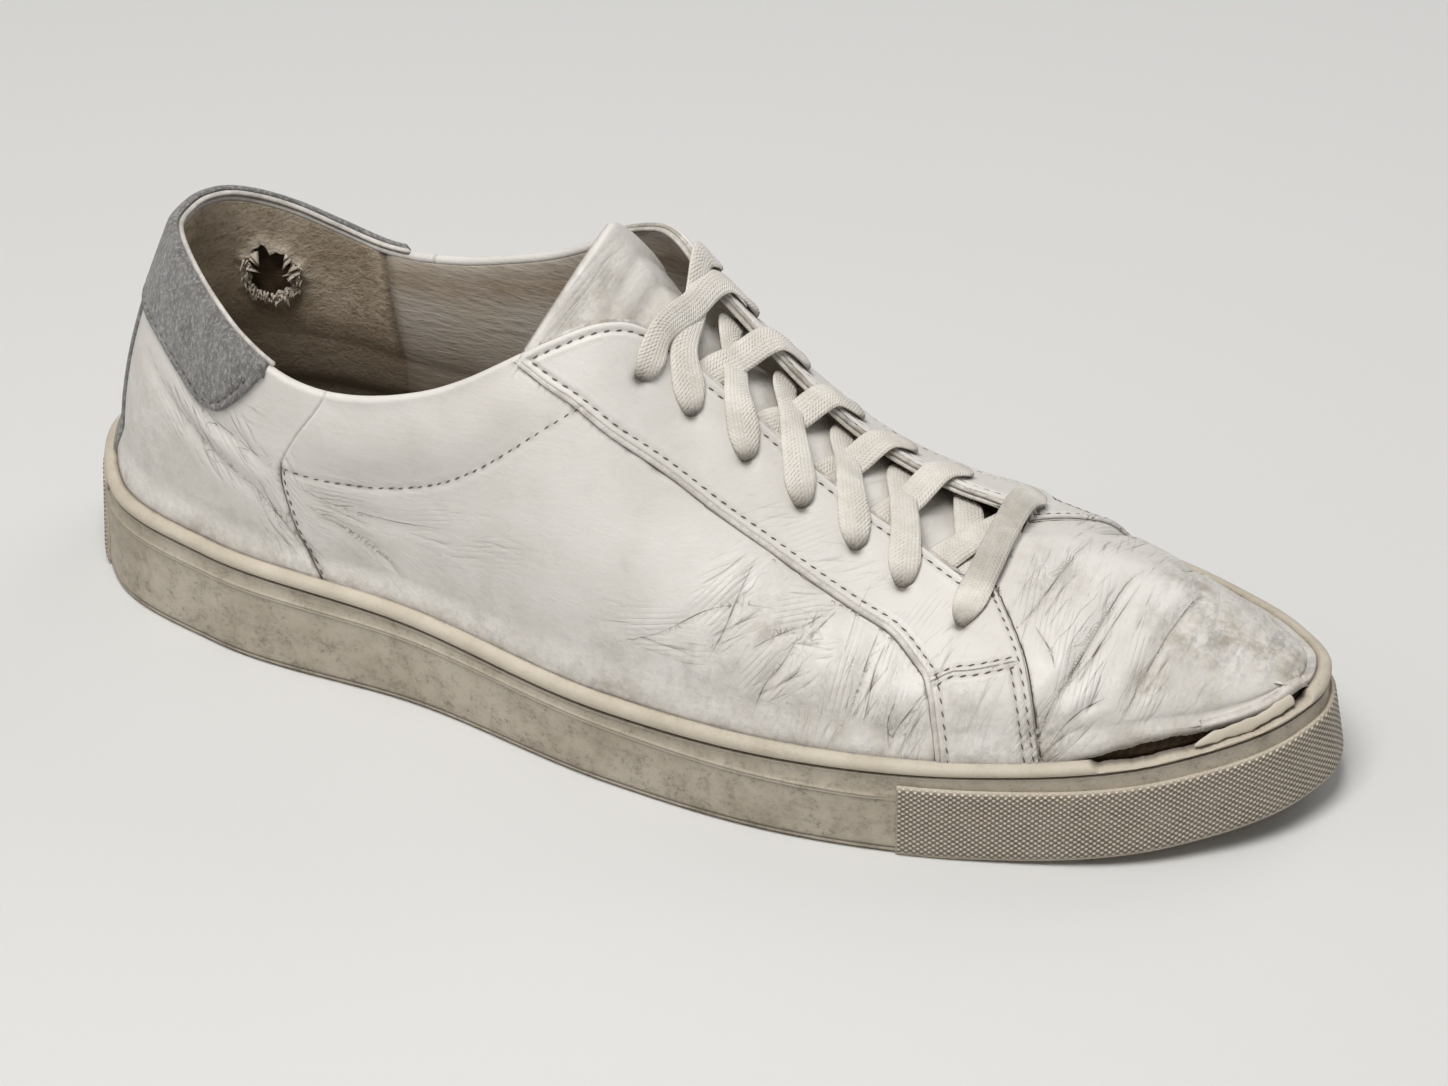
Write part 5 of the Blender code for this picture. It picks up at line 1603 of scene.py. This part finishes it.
def cup_sole(look):
    """The cup sole: foot groove, rib line, hollow band, stitch groove, bead and lip."""
    columns, rows = 1200, len(SIDE_PROFILE) + 1
    a, b = grid(columns, rows)
    row = np.round(b * rows).astype(int)
    u = 1 - 2 * a
    points, soil, grime = np.zeros((len(u), 3)), np.zeros(len(u)), np.zeros(len(u))
    behind = ramp(np.abs(u), BUMPER_START - 0.005, -0.012)
    torn = (bead_cut(u) < 0) * 1.0
    for i, (base, rise, proud, dirt, dark) in enumerate(SIDE_PROFILE, start=1):
        here = row == i
        swell = proud * behind if base == "rib" else proud + 0 * u
        points[here] = sole_side(u, base, rise, swell)[here]
        # Where the bead is torn, the lip's inner face shows in the mouth and is darkened in full: painted
        # shade inside the torn toe, with its dirt.
        inside = torn * (base == "top") * ramp(proud, -1.2, -1.5)
        soil[here], grime[here] = dirt, np.maximum(dark, inside)[here]
    for end, level in ((0, CUP_BASE), (rows, CUP_FLOOR)):
        here = row == end
        points[here] = over_floor(spine(u), level)[here]
    toe, ball, heel = bell(np.abs(u), 1, 0.16), bell(u, -0.62, 0.16), bell(u, 0, 0.16)
    side_soil = ramp(soil, 0.1, 0.15) * 0.32
    soil = np.clip(0.06 + soil + side_soil + 0.15 * toe + 0.10 * ball + 0.10 * heel, 0, 1)
    bm = bent_grid(columns, rows, points, {"soil": soil, "grime": grime})
    return piece("cup_sole_rubber", bm, look, ["cup_sole"])


def torn_strip(look):
    """The bead's upper edge, torn off the sole and still hanging on the leather."""
    u = -np.linspace(0.886, 0.966, 40)
    t = np.linspace(0, 1, 40)
    outward = level_out(u)
    level = side_top(u) + (-0.75 + 0.25 * np.sin(9 * t) - 0.5 * (1 - t) ** 6) * MM
    path = np.column_stack([lip(u, -1.75 * MM), level]) + outward * (0.7 * MM * (1 - t) ** 5)[:, None]
    width = (2.5 + 0.25 * np.sin(17 * t) + 0.16 * np.sin(41 * t)) * MM
    width *= ramp(t, -0.03, 0.22) ** 0.8
    faces = unit(outward + np.array([0, 0, 0.75]))
    bm = cord_mesh(path, faces, width, 1.15 * MM, 220, 14)
    return piece("torn_strip", bm, look)


def tread(look):
    """The worn tread: wavy bars across the sole, level with the floor."""
    net = 240, 48
    a, b = grid(*net)
    share = 0.03 + 0.955 * a
    left, right = outline(-share, -TREAD_INSET), outline(share, -TREAD_INSET)
    flat = left * (1 - b[:, None]) + right * b[:, None]
    wave = np.sin((flat[:, 0] + 2.2 * MM * np.sin(flat[:, 1] / (5 * MM))) * math.tau / TREAD_PITCH)
    edge = np.min(margins(np.column_stack([flat, 0 * a]), *net), axis=0)
    groove = TREAD_DEPTH * np.clip(wave * 2.5 + 0.4, 0, 1) * ramp(edge, 2.5 * MM, MM)
    points = np.column_stack([flat, floor_height(flat[:, 0]) + groove + 0.02 * MM])
    marks = {"soil": 0.7 + 0 * a, "grime": groove / TREAD_DEPTH * 0.8}
    bm = bent_grid(*net, points, marks)
    bmesh.ops.reverse_faces(bm, faces=bm.faces)
    return thicken(piece("tread", bm, look), TREAD_SHEET)


def sole_stitches(look):
    """The thread that lies in the sole's stitch groove."""
    bm = bmesh.new()
    u = np.linspace(-0.998, 0.998, 1600)
    run = runs(sole_side(u, "top", *GROOVE_FLOOR))
    u = np.interp(np.arange(2.0 * MM, run[-1], SOLE_PITCH), run, u)
    sew(bm, sole_side(u, "top", *GROOVE_FLOOR), level_out(u), SOLE_STITCH)
    return piece("sole_stitches", bm, look)


def toe_bumper(look):
    """The knurled guard round the toe, stepped at its ends."""
    net = 420, 16
    a, b = grid(*net)
    before_toe = (2 * a - 1) * (1 - BUMPER_START)
    u = np.where(before_toe < 0, -1 - before_toe, 1 - before_toe)
    low = 0.3 * MM
    top = 5.5 + 1.5 * ramp(np.abs(u), 0.70, 0.22)
    high = spline(SOLE_SIDE, np.abs(u), 1) - top * MM
    level = low + (high - low) * b
    points = over_floor(leaning(u, level, 0.3 * MM), level)
    return guard("toe_bumper_knurled", "toe_bumper", points, u, level, net, look)


def heel_patch(look):
    """The knurled patch on the heel's back."""
    net = 40, 24
    a, b = grid(*net)
    u = (1 - 2 * a) * 0.065
    level = (0.8 + 23.6 * b) * MM
    points = over_floor(leaning(u, level, 0.4 * MM), level)
    return guard("heel_patch_knurled", "heel_patch", points, u, level, net, look)


def guard(name, node, points, u, level, net, look):
    """A knurled panel laid on the sole's side."""
    first, last, bottom, top = margins(points, *net)
    ends = np.minimum(first, last)
    field = np.clip((np.minimum(ends - 0.2 * MM, top - 0.3 * MM) / (0.3 * MM)), 0, 1)
    field *= ramp(bottom, 0.7 * MM, 0.3 * MM)
    edge = np.min([ends, bottom, top], axis=0)
    height = GUARD_LIFT + turn_down(edge, GUARD_LIFT)
    marks = {"soil": 0.12 + 0.3 * (1 - field), "grime": 0 * u}
    marks.update(along=first / MM, up=level / MM, field=field)
    points = points + level_out(u) * height[:, None]
    return sheet(name, look, net, points, marks, GUARD_SHEET, [node])


# Lace


def wall_spot(side, share, v, height):
    """Point off the upper's face by `height` mm, and the outward direction there."""
    spots, outward = skin(np.array([side * share]), np.array([v]))
    return (spots + outward * height * MM)[0], outward[0]


def through_eyelet(number, side, under, over, face, coming_up):
    """Stations of the lace where it goes through an eyelet: point, face, width mm, thickness mm and soil,
    which in and beside the hole is painted shade.
    """
    share, v = EYELET_PLACES[number]
    width, thick = sizes().lace_width / MM, sizes().lace_thickness / MM
    spot, outward = wall_spot(side, share, v, 0)
    direction, hidden = (unit(place - spot) for place in (over, under))
    direction = unit(direction - outward * np.dot(direction, outward))
    hidden = unit(hidden - outward * np.dot(hidden, outward))
    below = spot - outward * 2.4 * MM + hidden * 1.0 * MM
    hole = spot + outward * 0.2 * MM + direction * 0.7 * MM
    above = spot + outward * 1.7 * MM + direction * 1.5 * MM
    clear = spot + outward * 2.1 * MM + direction * 4.0 * MM
    turned = face if coming_up else -face
    stations = [
        # In and beside the hole the last number darkens the lace: painted shade where it dips into the
        # eyelet.
        (below, turned * outward, 4.2, 1.5, 0.9),
        (hole, turned * direction, 3.2, 2.0, 1.0),
        (above, -turned * outward, 4.9, 1.9, 0.55),
        (clear, -turned * outward, width - 0.1, thick, 0.1),
    ]
    return stations if coming_up else stations[::-1], -face


def half_lace(side):
    """Stations of one half of the lace, from the middle of the bottom bar to its hidden end."""
    width, thick = sizes().lace_width / MM, sizes().lace_thickness / MM
    over = [wall_spot(s, *LACE_BAR)[0] for s in (-1, 1)]
    middle = sum(over) / 2 + upwards(1.2)
    spot, outward = wall_spot(side, *LACE_BAR)
    stations = [
        (middle, np.array([0, 0, 1.0]), width, thick, 0.35),
        (spot, outward, width, thick, 0.35),
    ]
    inner, _ = wall_spot(side, 0.690, LACE_EDGE, LACE_UNDER)
    passed, face = through_eyelet(0, side, inner, spot, 1.0, False)
    stations += passed
    for k in range(6):
        here, there = EYELET_PLACES[k][0], EYELET_PLACES[k + 1][0]
        leaving, arriving = (here + (there - here) * part for part in (LEAVES, ARRIVES))
        start_height, end_height = (LACE_UNDER if k == 0 else LACE_OVER), (2.1 if k == 5 else LACE_UNDER)
        start, start_out = wall_spot(side, leaving, LACE_EDGE, start_height)
        end, end_out = wall_spot(-side, arriving, LACE_EDGE, end_height)
        on_top = side == (-1 if 1 <= k <= 3 else 1)
        middle = (start + end) / 2 + upwards(0.75 if on_top else -0.75)
        up = face * unit(start_out + end_out)
        stations += [
            (start, face * start_out, width, thick, 0.0),
            (middle, up, width, thick, 0.0),
            (end, face * end_out, width, thick, 0.1),
        ]
        side = -side
        next_start, under = end, end
        if k < 5:
            after = there + (EYELET_PLACES[k + 2][0] - there) * LEAVES
            next_start, _ = wall_spot(side, after, LACE_EDGE, LACE_OVER)
        passed, face = through_eyelet(k + 1, side, under, next_start, face, k < 5)
        stations += passed
    share, v = EYELET_PLACES[6]
    tail, outward = wall_spot(side, share - 0.004, v - 0.10, -4.2)
    stations.append((tail, face * outward, 4.0, 1.8, 0.5))
    return stations


def upwards(height):
    """A step up by a height in mm."""
    return np.array([0, 0, height * MM])


def lace(look):
    """The flat lace, through every eyelet, with both its ends tucked in."""
    stations = half_lace(-1)[:0:-1] + half_lace(1)
    path = np.array([station[0] for station in stations])
    faces = np.array([station[1] for station in stations])
    widths, thicks, soils_and_shade = np.array([station[2:] for station in stations]).T
    bm = cord_mesh(path, faces, widths * MM, thicks * MM, 1700, 16, soils_and_shade)
    nodes = ["lace_bottom_bar"] + ["lace_crossing_%d" % k for k in range(1, 7)]
    return piece("lace", bm, look, nodes)


# What the user may change


def size(label, description, default):
    """A length in metres that the user may change."""
    return FloatProperty(name=label, description=description, default=default, min=0.0, unit="LENGTH")


def tint(label, description, default):
    """A colour that the user may change."""
    return FloatVectorProperty(
        name=label, description=description, default=default, min=0.0, max=1.0, subtype="COLOR"
    )


class SneakerSizes(bpy.types.PropertyGroup):
    """Sizes of the sneaker's trim."""

    lace_width: size("Lace width", "Width of the flat lace between eyelets", 0.0068)
    lace_thickness: size("Lace thickness", "Thickness of the flat lace", 0.0013)
    stitch_pitch: size("Stitch pitch", "From one stitch of the upper to the next", 0.00265)
    knurl_pitch: size("Knurl pitch", "Between two knobs of a row on a guard", 0.00168)


class SneakerColours(bpy.types.PropertyGroup):
    """Colours of the sneaker's materials."""

    leather: tint("Leather", "Clean leather", (0.73, 0.705, 0.665))
    leather_shade: tint("Leather shade", "Leather in its duller patches", (0.62, 0.59, 0.545))
    soil: tint("Soil", "Soiled leather and rubber", (0.33, 0.288, 0.225))
    scuff: tint("Scuff", "Grey rubbed marks", (0.295, 0.297, 0.30))
    # The grime colour is also painted shade: round the eyelet holes, where the lace dips into them, in the
    # lining's wrinkles and low in the shoe, between the guards' knobs and inside the torn toe.
    grime: tint("Grime", "Dirt in folds, seams and grooves", (0.105, 0.085, 0.062))
    nap: tint("Nap", "Light tips of the suede's fibres", (0.40, 0.39, 0.37))
    suede: tint("Suede", "Heel suede", (0.225, 0.22, 0.215))
    suede_shade: tint("Suede shade", "Heel suede brushed dark", (0.135, 0.132, 0.128))
    heel_lining: tint("Heel lining", "Napped lining round the heel", (0.76, 0.65, 0.50))
    heel_shade: tint("Heel lining shade", "Napped lining, rubbed dark", (0.44, 0.365, 0.27))
    lining: tint("Lining", "Smooth lining of the quarters", (0.62, 0.565, 0.48))
    # Also painted shade low inside the shoe.
    lining_soil_and_shade: tint("Lining soil", "Soiled lining", (0.30, 0.225, 0.15))
    thread: tint("Thread", "Sewing thread", (0.16, 0.135, 0.11))
    lace: tint("Lace", "Clean cotton", (0.78, 0.74, 0.675))
    lace_shade: tint("Lace shade", "Cotton between the picks", (0.52, 0.48, 0.41))
    rubber: tint("Rubber", "Clean rubber", (0.585, 0.53, 0.435))
    rubber_shade: tint("Rubber shade", "Yellowed rubber", (0.46, 0.402, 0.31))
    # A lighter copy of the rubber: painted light on the knobs' tops as well as their rubbed wear.
    rubber_rubbed_and_lit: tint("Rubbed rubber", "Tops of the knobs, rubbed clean", (0.82, 0.73, 0.60))
    insole: tint("Insole", "Insole cloth", (0.34, 0.30, 0.24))
    insole_shade: tint("Insole shade", "Insole cloth where it is worn", (0.20, 0.17, 0.13))
    # Its near-black also stands for painted shade in the torn toe's mouth.
    bared: tint("Bared layer", "Layer bared by tears", (0.16, 0.115, 0.07))
    bared_dark: tint("Bared layer, dark", "Hollows of the bared layer", (0.05, 0.036, 0.024))
    floor: tint("Floor", "Studio floor", (0.66, 0.66, 0.65))


def sizes():
    """The sizes that the user may change, as they are set now."""
    return bpy.context.scene.sneaker_sizes


# One operator for each piece or group of like pieces


class SNEAKER_OT_upper(bpy.types.Operator):
    """Adds the vamp, the heel counter, the two quarters and the layer under the torn edge"""

    bl_idname = "sneaker.upper"
    bl_label = "Upper leather"

    def execute(self, context):
        leather = leather_look("white leather")
        vamp(leather)
        counter(leather)
        quarter(-1, 200, leather)
        quarter(1, 140, leather)
        lasting_margin(dark_look())
        return {"FINISHED"}


class SNEAKER_OT_eyestays(bpy.types.Operator):
    """Adds the two eyelet overlays and the piping along their rear edges"""

    bl_idname = "sneaker.eyestays"
    bl_label = "Eyestays"

    def execute(self, context):
        leather = leather_look("eyestay leather")
        for side in (-1, 1):
            eyestay(side, leather)
            piping(side, leather)
            throat_piping(side, leather)
        return {"FINISHED"}


class SNEAKER_OT_heel(bpy.types.Operator):
    """Adds the suede tab and strip on the heel"""

    bl_idname = "sneaker.heel"
    bl_label = "Heel suede"

    def execute(self, context):
        suede = suede_look()
        heel_tab(suede)
        back_strip(suede)
        collar_piping(leather_look("piping leather"))
        return {"FINISHED"}


class SNEAKER_OT_stitches(bpy.types.Operator):
    """Adds the stitches of the upper and the sole"""

    bl_idname = "sneaker.stitches"
    bl_label = "Stitches"

    def execute(self, context):
        thread = thread_look()
        stitches(thread)
        sole_stitches(thread)
        return {"FINISHED"}


class SNEAKER_OT_lining(bpy.types.Operator):
    """Adds the lining with its worn hole and the insole"""

    bl_idname = "sneaker.lining"
    bl_label = "Lining and insole"

    def execute(self, context):
        inner = lining_look()
        lining(inner)
        frayed_edge(inner)
        bared_layer(dark_look())
        insole(insole_look())
        return {"FINISHED"}


class SNEAKER_OT_tongue(bpy.types.Operator):
    """Adds the padded tongue"""

    bl_idname = "sneaker.tongue"
    bl_label = "Tongue"

    def execute(self, context):
        tongue(leather_look("tongue leather"))
        return {"FINISHED"}


class SNEAKER_OT_sole(bpy.types.Operator):
    """Adds the cup sole, its tread and its knurled guards"""

    bl_idname = "sneaker.sole"
    bl_label = "Sole"

    def execute(self, context):
        rubber = rubber_look("white rubber")
        cup_sole(rubber)
        torn_strip(rubber)
        tread(rubber)
        knurled = rubber_look("knurled rubber", True)
        toe_bumper(knurled)
        heel_patch(knurled)
        return {"FINISHED"}


class SNEAKER_OT_lace(bpy.types.Operator):
    """Adds the lace"""

    bl_idname = "sneaker.lace"
    bl_label = "Lace"

    def execute(self, context):
        lace(lace_look())
        return {"FINISHED"}


class SNEAKER_OT_studio(bpy.types.Operator):
    """Adds the floor, the lamps, the world and the camera"""

    bl_idname = "sneaker.studio"
    bl_label = "Studio"

    def execute(self, context):
        studio_floor()
        for lamp in LAMPS:
            studio_lamp(*lamp)
        studio_world()
        studio_camera()
        return {"FINISHED"}


class SNEAKER_PT_pieces(bpy.types.Panel):
    """Lists the sneaker's operators with its sizes and colours"""

    bl_idname = "SNEAKER_PT_pieces"
    bl_label = "Worn sneaker"
    bl_space_type = "VIEW_3D"
    bl_region_type = "UI"
    bl_category = "Sneaker"

    def draw(self, context):
        for group in (context.scene.sneaker_sizes, context.scene.sneaker_colours):
            for label in group.__annotations__:
                self.layout.prop(group, label)
        for operator in OPERATORS:
            self.layout.operator(operator.bl_idname)


# Studio

LOOK_AT = Vector((0.10486, 0.00654, 0.045))
CAMERA_AWAY = 1.030  # m from there
LAMPS = (
    # name, place m, power W, width m, colour
    ("key", (0.12, -0.45, 1.32), 17.0, 0.6, (1.0, 0.98, 0.955)),
    ("fill", (-1.10, -0.50, 0.70), 2.6, 1.0, (1.0, 0.99, 0.97)),
    ("back", (0.60, 1.10, 0.90), 4.0, 1.0, (1.0, 1.0, 1.0)),
)


def studio_floor():
    """The flat floor, level with the lowest tread."""
    bm = bmesh.new()
    bmesh.ops.create_grid(bm, x_segments=1, y_segments=1, size=4.0)
    mesh = bpy.data.meshes.new("floor")
    bm.to_mesh(mesh)
    bm.free()
    look = Look("studio floor", Roughness=0.9, Specular_IOR_Level=0.1)
    mesh.materials.append(look.finish(colour("floor")))
    made = bpy.data.objects.new("floor", mesh)
    bpy.context.scene.collection.objects.link(made)


def studio_lamp(name, place, power, width, tone):
    """A square lamp aimed at the shoe."""
    light = bpy.data.lights.new(name, "AREA")
    light.energy, light.size, light.color = power, width, tone
    made = bpy.data.objects.new(name, light)
    made.location = place
    made.rotation_euler = (LOOK_AT - Vector(place)).to_track_quat("-Z", "Y").to_euler()
    bpy.context.scene.collection.objects.link(made)


def studio_world():
    """Faint even light from all round."""
    world = bpy.data.worlds.new("studio")
    world.use_nodes = True
    background = world.node_tree.nodes["Background"]
    background.inputs["Color"].default_value = (0.97, 0.98, 1.0, 1.0)
    background.inputs["Strength"].default_value = 0.22
    bpy.context.scene.world = world
    bpy.context.scene.view_settings.view_transform = "Standard"


def studio_camera():
    """Looks down on the outer side, a little rolled."""
    around, above, roll = math.radians(24.7), math.radians(36.8), math.radians(-1.2)
    right = Vector((math.cos(around), math.sin(around), 0))
    ahead = Vector(
        (-math.sin(around) * math.cos(above), math.cos(around) * math.cos(above), -math.sin(above))
    )
    upward = right.cross(ahead)
    right, upward = (
        math.cos(roll) * right + math.sin(roll) * upward,
        math.cos(roll) * upward - math.sin(roll) * right,
    )
    lens = bpy.data.cameras.new("camera")
    lens.lens, lens.sensor_width = 115.1, 36.0
    lens.shift_x, lens.shift_y = 0.0138, -0.0378
    made = bpy.data.objects.new("camera", lens)
    turn = Matrix((right, upward, -ahead)).transposed().to_4x4()
    made.matrix_world = Matrix.Translation(LOOK_AT - ahead * CAMERA_AWAY) @ turn
    bpy.context.scene.collection.objects.link(made)
    bpy.context.scene.camera = made


OPERATORS = (
    SNEAKER_OT_upper,
    SNEAKER_OT_eyestays,
    SNEAKER_OT_heel,
    SNEAKER_OT_stitches,
    SNEAKER_OT_lining,
    SNEAKER_OT_tongue,
    SNEAKER_OT_sole,
    SNEAKER_OT_lace,
    SNEAKER_OT_studio,
)
CLASSES = (SneakerSizes, SneakerColours, *OPERATORS, SNEAKER_PT_pieces)


def register():
    for made in CLASSES:
        bpy.utils.register_class(made)
    bpy.types.Scene.sneaker_sizes = PointerProperty(type=SneakerSizes)
    bpy.types.Scene.sneaker_colours = PointerProperty(type=SneakerColours)


def unregister():
    del bpy.types.Scene.sneaker_colours
    del bpy.types.Scene.sneaker_sizes
    for made in reversed(CLASSES):
        bpy.utils.unregister_class(made)


def main():
    register()
    for operator in (
        bpy.ops.sneaker.upper,
        bpy.ops.sneaker.eyestays,
        bpy.ops.sneaker.heel,
        bpy.ops.sneaker.stitches,
        bpy.ops.sneaker.lining,
        bpy.ops.sneaker.tongue,
        bpy.ops.sneaker.sole,
        bpy.ops.sneaker.lace,
        bpy.ops.sneaker.studio,
    ):
        if operator() != {"FINISHED"}:
            raise RuntimeError("a piece could not be finished")


if __name__ == "__main__":
    main()
